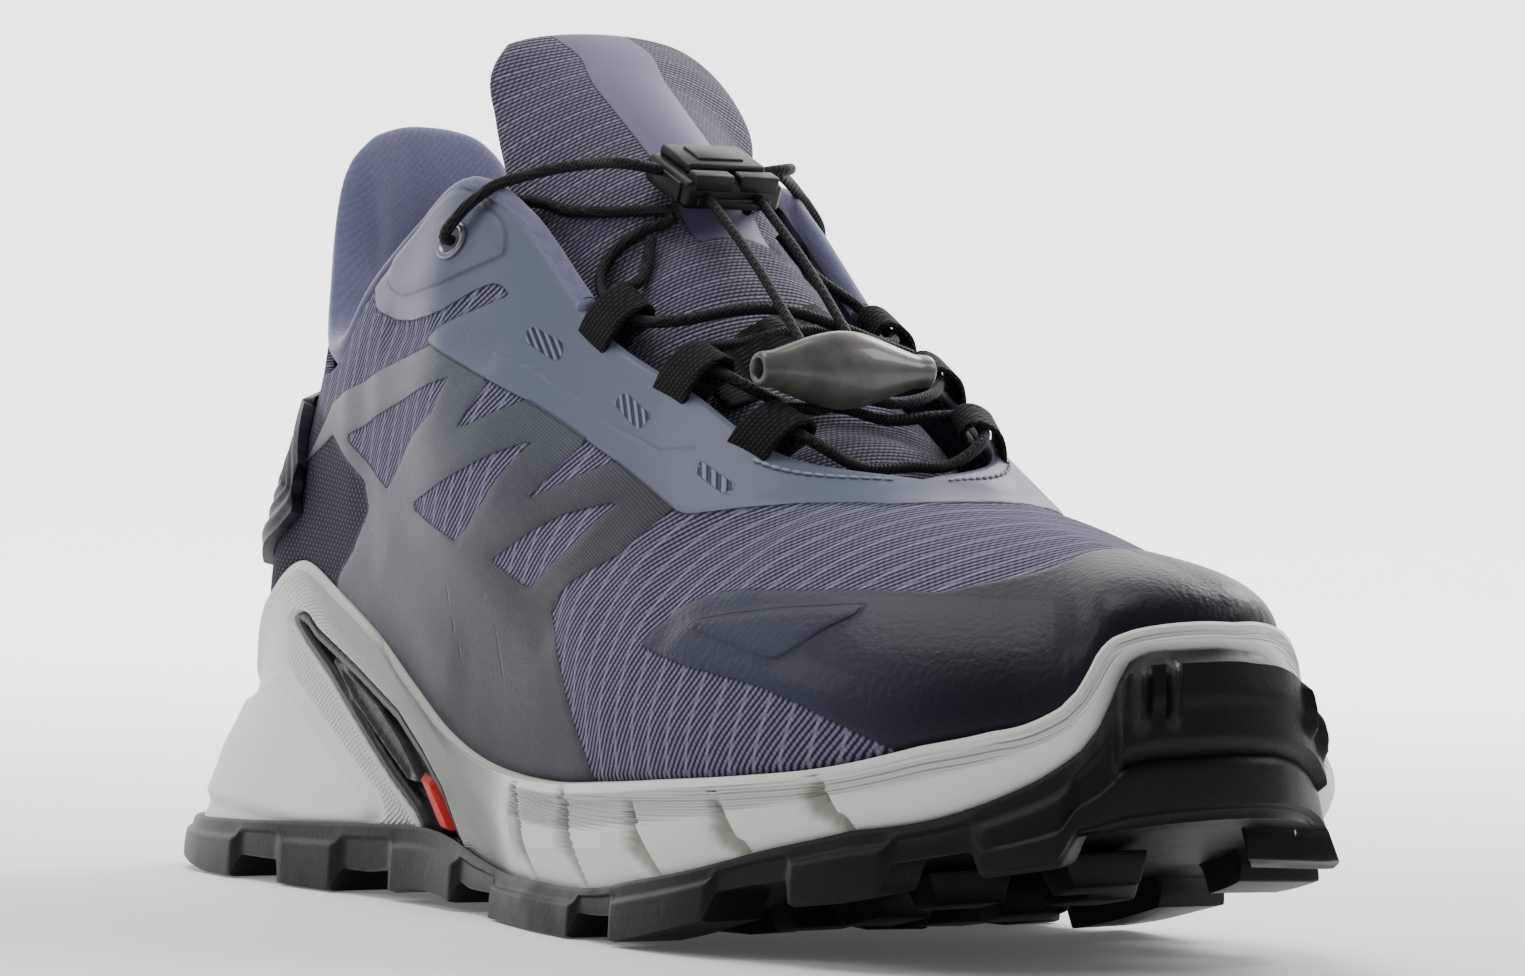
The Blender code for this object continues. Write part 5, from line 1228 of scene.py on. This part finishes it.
# Lengths over which the tongue rounds off at its top and thins out at its foot
ROUND_TOP, THIN_FOOT = 0.0024, 0.004
first, last = TONGUE[0][0] * LENGTH, TONGUE[-1][0] * LENGTH
cap_arc = ROUND_TOP * (1 - np.cos(np.linspace(0, math.pi / 2, 7)[:-1]))
along = np.concatenate([first + cap_arc, np.linspace(first + ROUND_TOP, last, 130)])
fullness = np.sqrt(np.clip(1 - (1 - np.clip((along - first) / ROUND_TOP, 0, 1))**2, 0, 1))
fullness *= np.sqrt(np.clip((last - along) / THIN_FOOT, 0, 1))
angle = np.linspace(0, math.tau, 97)
side = np.cos(angle)[None, :]
rows = read(TONGUE, along / LENGTH)
x = np.repeat(along[:, None], 97, 1)
y = (rows[:, 3:4] + rows[:, 1:2] * side) * BALL_WIDTH
thick = TONGUE_THICKNESS * fullness[:, None] * np.sqrt(np.clip(1 - side**6, 0, 1))
top = tongue_face(x, y) - (TONGUE_THICKNESS - thick) / 2
z = np.where(np.sin(angle)[None, :] >= 0, top, top - thick)
points = np.stack([x, y, z], -1)
sway = 0.0005 - 0.0042 * ease(0.128 - x, 0, 0.05)
strip = np.broadcast_to(0.0076 - np.abs(y - rows[:, 3:4] * BALL_WIDTH - sway), x.shape)
strip = np.minimum(strip, 0.142 - x)

knit = Finish("tongue_knit", "knit", paint(107, 110, 134), 0.85, {"Sheen Weight": 0.2})
x, y, z = knit.place()
course = (x * 1.0 - z * 0.9) / 0.0011
loop = (y / 0.00105 + course * 0.5).wave()
rows_wave = course.wave()
pale = ((x * 1.0 - z * 0.9) / 0.0066).wave().fade(0.965, 1.0) * (y / 0.0016).wave().fade(0.1, 0.5)
tone = (loop * rows_wave * 0.8 + rows_wave * 0.35 + knit.grain(1500, 2) * 0.3).fade(0.15, 1.1)
colour = knit.mix(tone, paint(34, 36, 52), paint(118, 120, 144))
colour = knit.mix(pale * 0.55, colour, paint(156, 158, 176))
on_strip = knit.value("strip").fade(-0.0001, 0.0001)
edge = knit.value("strip").act("ABSOLUTE").fade(0.0, 0.0004)
colour = knit.mix(on_strip, colour, paint(82, 85, 114))
colour = knit.mix(1 - edge, colour, paint(38, 40, 56))
knit.feed({"Base Color": colour, "Roughness": 0.88 - on_strip * 0.28})
knit.bump((1 - on_strip) * (loop * rows_wave + rows_wave * 0.4) + on_strip * 0.8, 0.00035, 0.9)
tongue = add_piece("tongue_pad", sheet(points, {"strip": strip}), knit, "tongue", sharp=180)


# Eyelets. Rims of painted metal, pressed through the top of each facing and flared behind it.
# The lace's top run passes through each of them.
EYELETS = {
    "lateral": ((0.10714, -0.03074, 0.11533), (0.12684, -0.92585, 0.35598), (0.98490, 0.07493, -0.15605)),
    "medial": ((0.10763, 0.04061, 0.11540), (0.06107, 0.96514, 0.25452), (-0.98841, 0.02298, 0.15005)),
}
EYELET_RIM = [(0.0021, -0.0016), (0.0025, -0.0016), (0.0026, 0.0010), (0.0036, 0.0011), (0.0037, 0.0016),
              (0.0033, 0.0020), (0.0025, 0.0018), (0.0021, 0.0008)]
metal = Finish("painted_metal", "metal", paint(120, 124, 134), 0.35, {"Metallic": 0.85})
for name, (point, normal, along) in EYELETS.items():
    bm = bmesh.new()
    verts = [bm.verts.new((r, 0, h)) for r, h in EYELET_RIM]
    edges = [bm.edges.new((verts[k - 1], verts[k])) for k in range(len(verts))]
    bmesh.ops.spin(bm, geom=verts + edges, axis=(0, 0, 1), cent=(0, 0, 0), steps=40, angle=math.tau,
                   use_merge=True)
    bmesh.ops.recalc_face_normals(bm, faces=bm.faces)
    n, a = Vector(normal).normalized(), Vector(along)
    b = n.cross(a).normalized()
    spot = Matrix.Translation(Vector(point) + n * 0.0005) @ Matrix((b.cross(n), b, n)).transposed().to_4x4()
    bmesh.ops.transform(bm, matrix=spot, verts=bm.verts)
    add_piece("rim_" + name, bm, metal, "eyelet_" + name)
    # Painted shade: a dark disk fills each eyelet's hole round the lace.
    bm = bmesh.new()
    bmesh.ops.create_circle(bm, cap_ends=True, segments=40, radius=0.0023)
    bmesh.ops.transform(bm, matrix=spot @ Matrix.Translation((0, 0, 0.0004)), verts=bm.verts)
    made = bmesh.ops.extrude_face_region(bm, geom=bm.faces[:])
    moved = [v for v in made["geom"] if isinstance(v, bmesh.types.BMVert)]
    bmesh.ops.translate(bm, vec=-n * 0.0006, verts=moved)
    bmesh.ops.recalc_face_normals(bm, faces=bm.faces)
    add_piece("eyelet_hole_shade_" + name, bm, braid)


# Webbing loops. Short black herringbone tapes, folded round the lace and sewn under the facing,
# three a side. Each is given by its middle and its ways in over the tongue, along and up.
LOOPS = {
    "lateral_1": ((0.14766, -0.02164, 0.10395), (0.02087, 0.92164, 0.38750), (0.86847, 0.04828, -0.49338)),
    "lateral_2": ((0.16955, -0.01947, 0.09481), (0.02347, 0.94167, 0.33571), (0.92572, 0.12024, -0.35859)),
    "lateral_3": ((0.18982, -0.01631, 0.08504), (-0.03454, 0.96467, 0.26120), (0.86430, 0.28112, -0.41707)),
    "medial_1": ((0.15285, 0.02974, 0.10138), (0.05883, -0.91846, 0.39111), (-0.90725, 0.08764, 0.41135)),
    "medial_2": ((0.17222, 0.02724, 0.09380), (0.06111, -0.93693, 0.34413), (-0.91201, 0.14746, 0.38275)),
    "medial_3": ((0.19006, 0.02414, 0.08505), (0.02087, -0.96110, 0.27542), (-0.85761, 0.30536, 0.41384)),
}
LOOP_WIDTH = 0.0088
TAPE_THICKNESS = 0.0010
# The tape's fold in its own plane, in metres: in over the tongue, up
FOLD = [(-0.0084, -0.0058), (-0.0066, -0.0038), (-0.0048, -0.0010), (-0.0024, 0.0012), (0.0004, 0.0020),
        (0.0028, 0.0018), (0.0042, 0.0006), (0.0041, -0.0009), (0.0026, -0.0021), (0.0002, -0.0029),
        (-0.0020, -0.0042), (-0.0034, -0.0062)]
tape = Finish("webbing", "lace", paint(16, 16, 18), 0.8, {"Specular IOR Level": 0.2})
x, y, z = tape.place()
thread = ((x * 0.9 + z * 0.9) / 0.00085).wave()
turned = ((x * 0.9 - z * 0.9 + y * 0.6) / 0.0012).wave()
tape.feed({"Base Color": tape.mix(thread * turned, paint(4, 4, 5), paint(38, 38, 42))})
tape.bump(thread * turned, 0.0004, 0.9)


def tape_strip(path, ways, widths):
    """Strip of tape along a path: flat ways across it and half widths."""
    span = np.linspace(-1, 1, 9)
    grid = [[p + w * float(s) * h for s in span] for p, w, h in zip(path, ways, widths)]
    return np.array([[tuple(p) for p in line] for line in grid])


for name, (middle, reach, along) in LOOPS.items():
    middle, reach, along = Vector(middle), Vector(reach), Vector(along)
    lift = along.cross(reach).normalized()
    lift = lift if lift.z > 0 else -lift
    path = smooth_way([middle + reach * a + lift * b for a, b in FOLD], 4)
    middle_share = np.sin(np.linspace(0, math.pi, len(path)))
    widths = LOOP_WIDTH / 2 * (1 - 0.12 * middle_share**2)
    bm = sheet(tape_strip(path, [along] * len(path), widths))
    piece = add_piece("loop_" + name + "_tape", bm, tape, "loop_" + name)
    thicken(piece, TAPE_THICKNESS, 0)
    soften(piece, 0.0003, 2, 30)


# Lace. One thin round braid: it crosses the tongue through the loops, and its two top runs go from
# the eyelets to the lock. Short inner runs come back from the inside of the eyelets.
LACE_WAY = [
    (0.1392, 0.0156, 0.1180), (0.1432, 0.0199, 0.1112), (0.1459, 0.0268, 0.1062),
    (0.1523, 0.0287, 0.1021), (0.1592, 0.0265, 0.0993), (0.1607, 0.0177, 0.1000),
    (0.1618, 0.0088, 0.1011), (0.1627, 0.0000, 0.1003), (0.1632, -0.0087, 0.0984),
    (0.1634, -0.0176, 0.0977), (0.1704, -0.0182, 0.0949), (0.1766, -0.0147, 0.0916),
    (0.1787, -0.0067, 0.0883), (0.1806, 0.0020, 0.0881), (0.1823, 0.0105, 0.0861),
    (0.1835, 0.0193, 0.0868), (0.1871, 0.0241, 0.0868), (0.1949, 0.0216, 0.0832),
    (0.1963, 0.0141, 0.0788), (0.1963, 0.0055, 0.0785), (0.1962, -0.0034, 0.0781),
    (0.1957, -0.0116, 0.0817), (0.1894, -0.0153, 0.0855), (0.1841, -0.0142, 0.0880),
    (0.1846, -0.0052, 0.0878), (0.1835, 0.0035, 0.0896), (0.1825, 0.0123, 0.0890),
    (0.1800, 0.0208, 0.0905), (0.1745, 0.0258, 0.0933), (0.1665, 0.0271, 0.0966),
    (0.1655, 0.0187, 0.0995), (0.1643, 0.0103, 0.1024), (0.1623, 0.0019, 0.1046),
    (0.1600, -0.0068, 0.1043), (0.1565, -0.0148, 0.1025), (0.1511, -0.0204, 0.1024),
    (0.1434, -0.0210, 0.1068), (0.1411, -0.0138, 0.1095), (0.1376, -0.0098, 0.1166),
]
TOP_RUNS = {
    "lateral": [
    (0.1076, -0.0340, 0.1166), (0.1098, -0.0327, 0.1201), (0.1110, -0.0299, 0.1232),
    (0.1123, -0.0266, 0.1257), (0.1152, -0.0237, 0.1271), (0.1184, -0.0209, 0.1282),
    (0.1219, -0.0184, 0.1290), (0.1257, -0.0164, 0.1295), (0.1300, -0.0156, 0.1297),
    (0.1343, -0.0148, 0.1297), (0.1368, -0.0119, 0.1293), (0.1363, -0.0076, 0.1287),
    ],
    "medial": [
    (0.1078, 0.0440, 0.1163), (0.1100, 0.0427, 0.1201), (0.1111, 0.0398, 0.1234),
    (0.1127, 0.0364, 0.1259), (0.1156, 0.0331, 0.1273), (0.1186, 0.0299, 0.1283),
    (0.1219, 0.0268, 0.1290), (0.1256, 0.0241, 0.1295), (0.1298, 0.0224, 0.1297),
    (0.1341, 0.0208, 0.1297), (0.1368, 0.0175, 0.1294), (0.1363, 0.0130, 0.1287),
    ],
}
INNER_RUNS = {
    "lateral": [
        (0.1098, -0.0268, 0.1236), (0.1160, -0.0186, 0.1227), (0.1202, -0.0170, 0.1215),
        (0.1266, -0.0137, 0.1212), (0.1334, -0.0076, 0.1216), (0.1370, -0.0045, 0.1215),
    ],
    "medial": [
        (0.11925, 0.02472, 0.12453), (0.1262, 0.0205, 0.1243), (0.1338, 0.0156, 0.1236),
        (0.1370, 0.0100, 0.1222),
    ],
}
# Run behind the lock, between it and the first outer loop
HIDDEN_RUN = [
    (0.1376, -0.0052, 0.1206), (0.1366, -0.0062, 0.1195), (0.1347, -0.0094, 0.1182),
    (0.1328, -0.0140, 0.1145), (0.1335, -0.0172, 0.1108), (0.1375, -0.0195, 0.1072),
    (0.1440, -0.0212, 0.1046),
]
lace_line("crossing_lace", LACE_WAY, LACE_DIAMETER, braid, "lace_crossings", steps=5)
for side in ("lateral", "medial"):
    point, normal = Vector(EYELETS[side][0]), Vector(EYELETS[side][1])
    run = [point - normal * 0.0005, point + normal * 0.0012] + TOP_RUNS[side]
    lace_line("top_run_" + side, run, LACE_DIAMETER, braid, "lace_top_" + side, steps=5)
    lace_line("inner_run_" + side, INNER_RUNS[side], LACE_DIAMETER, braid, "lace_inner_" + side, steps=5)
lace_line("hidden_run_lateral", HIDDEN_RUN, LACE_DIAMETER, braid, steps=5)


# Keeper. A flat woven tape, sewn on the tongue under the toggle. The free end of the lace is
# tucked under it.
KEEPER = [(0.1730, -0.0118), (0.1704, -0.0122), (0.1676, -0.0097), (0.1655, -0.0058),
          (0.1643, -0.0010), (0.1600, 0.0070), (0.1556, 0.0150)]
path, ways = [], []
line = smooth_way([(x, y, 0) for x, y in KEEPER], 5)
for k, spot in enumerate(line):
    way = (line[min(k + 1, len(line) - 1)] - line[max(k - 1, 0)]).normalized()
    height = float(tongue_face(np.array(spot.x), np.array(spot.y)))
    path.append(Vector((spot.x, spot.y, height + 0.0018)))
    ways.append(Vector((way.y, -way.x, -way.y * 0.85)).normalized())
widths = np.interp(np.arange(len(path)), [0, len(path) * 0.7, len(path)], [0.0048, 0.0044, 0.0026])
thicken(add_piece("keeper", sheet(tape_strip(path, ways, widths)), tape), TAPE_THICKNESS)


# Throat trim. The lining is rolled over the facing's edge beside the eyelets and ends in a sewn
# fold, and a row of stitches runs across the throat's lower end.
for side, name in ((-1, "lateral"), (1, "medial")):
    spots = np.linspace(8.3, 10.75, 12)
    spots = spots if side < 0 else ROWS - spots
    edge = upper_wall(spots, np.array([0.97, 1.0]))
    points = [Vector(tuple(a)) + Vector((0, -side * 0.0004, 0.0004)) for a in edge[:, 1]]
    lace_line("rolled_edge_" + name, points, 0.0038, lining, steps=4)
    fold = points[-1]
    way = (points[-1] - points[-2]).normalized()
    bm = bmesh.new()
    bmesh.ops.create_uvsphere(bm, u_segments=20, v_segments=12, radius=0.0021)
    bmesh.ops.scale(bm, vec=(0.8, 1.0, 0.8), verts=bm.verts)
    bmesh.ops.translate(bm, vec=fold + way * 0.0004, verts=bm.verts)
    add_piece("rolled_end_" + name, bm, lining, sharp=180)

yarn = Finish("sewing_yarn", "textile", paint(140, 146, 164), 0.8)
bm = bmesh.new()
for side in (-1, 1):
    for place in np.linspace(12.9, 13.9, 13):
        spots = np.array([place - 0.02, place, place + 0.02])
        spots = spots if side < 0 else ROWS - spots
        near = upper_wall(spots, np.array([0.93, 0.955, 0.98]))
        way = Vector(tuple(near[2, 1] - near[0, 1])).normalized()
        rise = Vector(tuple(near[1, 2] - near[1, 0])).normalized()
        normal = way.cross(rise).normalized()
        normal = normal if normal.z > 0 else -normal
        made = bmesh.ops.create_uvsphere(bm, u_segments=10, v_segments=6, radius=1.0)["verts"]
        bmesh.ops.scale(bm, vec=(0.0009, 0.00035, 0.00025), verts=made)
        turn = Matrix((way, normal.cross(way), normal)).transposed().to_4x4()
        spot = Vector(tuple(near[1, 1])) + normal * 0.0012
        bmesh.ops.transform(bm, matrix=Matrix.Translation(spot) @ turn, verts=made)
add_piece("throat_stitches", bm, yarn)


# Lace lock. A small black moulded clamp: a body with open cheeks, a lever plate on top and two jaws
# in front, out of which the pull cords come.
black = Finish("black_plastic", "lace", paint(6, 6, 7), 0.42, {"Specular IOR Level": 0.3})
black.bump(black.grain(1800, 2), 0.00006, 0.4)
LOCK_LEAN = 22
LOCK_SEAT = (0.1376, 0.0027, 0.1270)
# Blocks of the lock: middle, size and bevel, along the cords, across the tongue, out of it
LOCK_BLOCKS = [
    ((0.0, 0.0, -0.0002), (0.0150, 0.0196, 0.0052), 0.0011),
    ((-0.0018, 0.0, 0.0032), (0.0104, 0.0158, 0.0020), 0.0006),
    ((-0.0020, 0.0, 0.0041), (0.0060, 0.0092, 0.0010), 0.0003),
    ((0.0060, -0.0046, 0.0022), (0.0032, 0.0078, 0.0030), 0.0004),
    ((0.0060, 0.0046, 0.0022), (0.0032, 0.0078, 0.0030), 0.0004),
    ((0.0066, 0.0, -0.0012), (0.0030, 0.0150, 0.0016), 0.0004),
    ((0.0010, -0.0098, -0.0004), (0.0090, 0.0012, 0.0038), 0.0004),
    ((0.0010, 0.0098, -0.0004), (0.0090, 0.0012, 0.0038), 0.0004),
]
bm = bmesh.new()
for middle, size, soft in LOCK_BLOCKS:
    made = bmesh.ops.create_cube(bm, size=1.0)["verts"]
    bmesh.ops.scale(bm, vec=size, verts=made)
    bmesh.ops.translate(bm, vec=middle, verts=made)
    edges = {edge for v in made for edge in v.link_edges}
    bmesh.ops.bevel(bm, geom=list(edges), offset=soft, segments=3, profile=0.5, affect="EDGES", material=-1)
turn = Matrix.Rotation(math.radians(LOCK_LEAN), 4, "Y")
bmesh.ops.transform(bm, matrix=Matrix.Translation(LOCK_SEAT) @ turn, verts=bm.verts)
add_piece("lock", bm, black, "lace_lock", sharp=35)
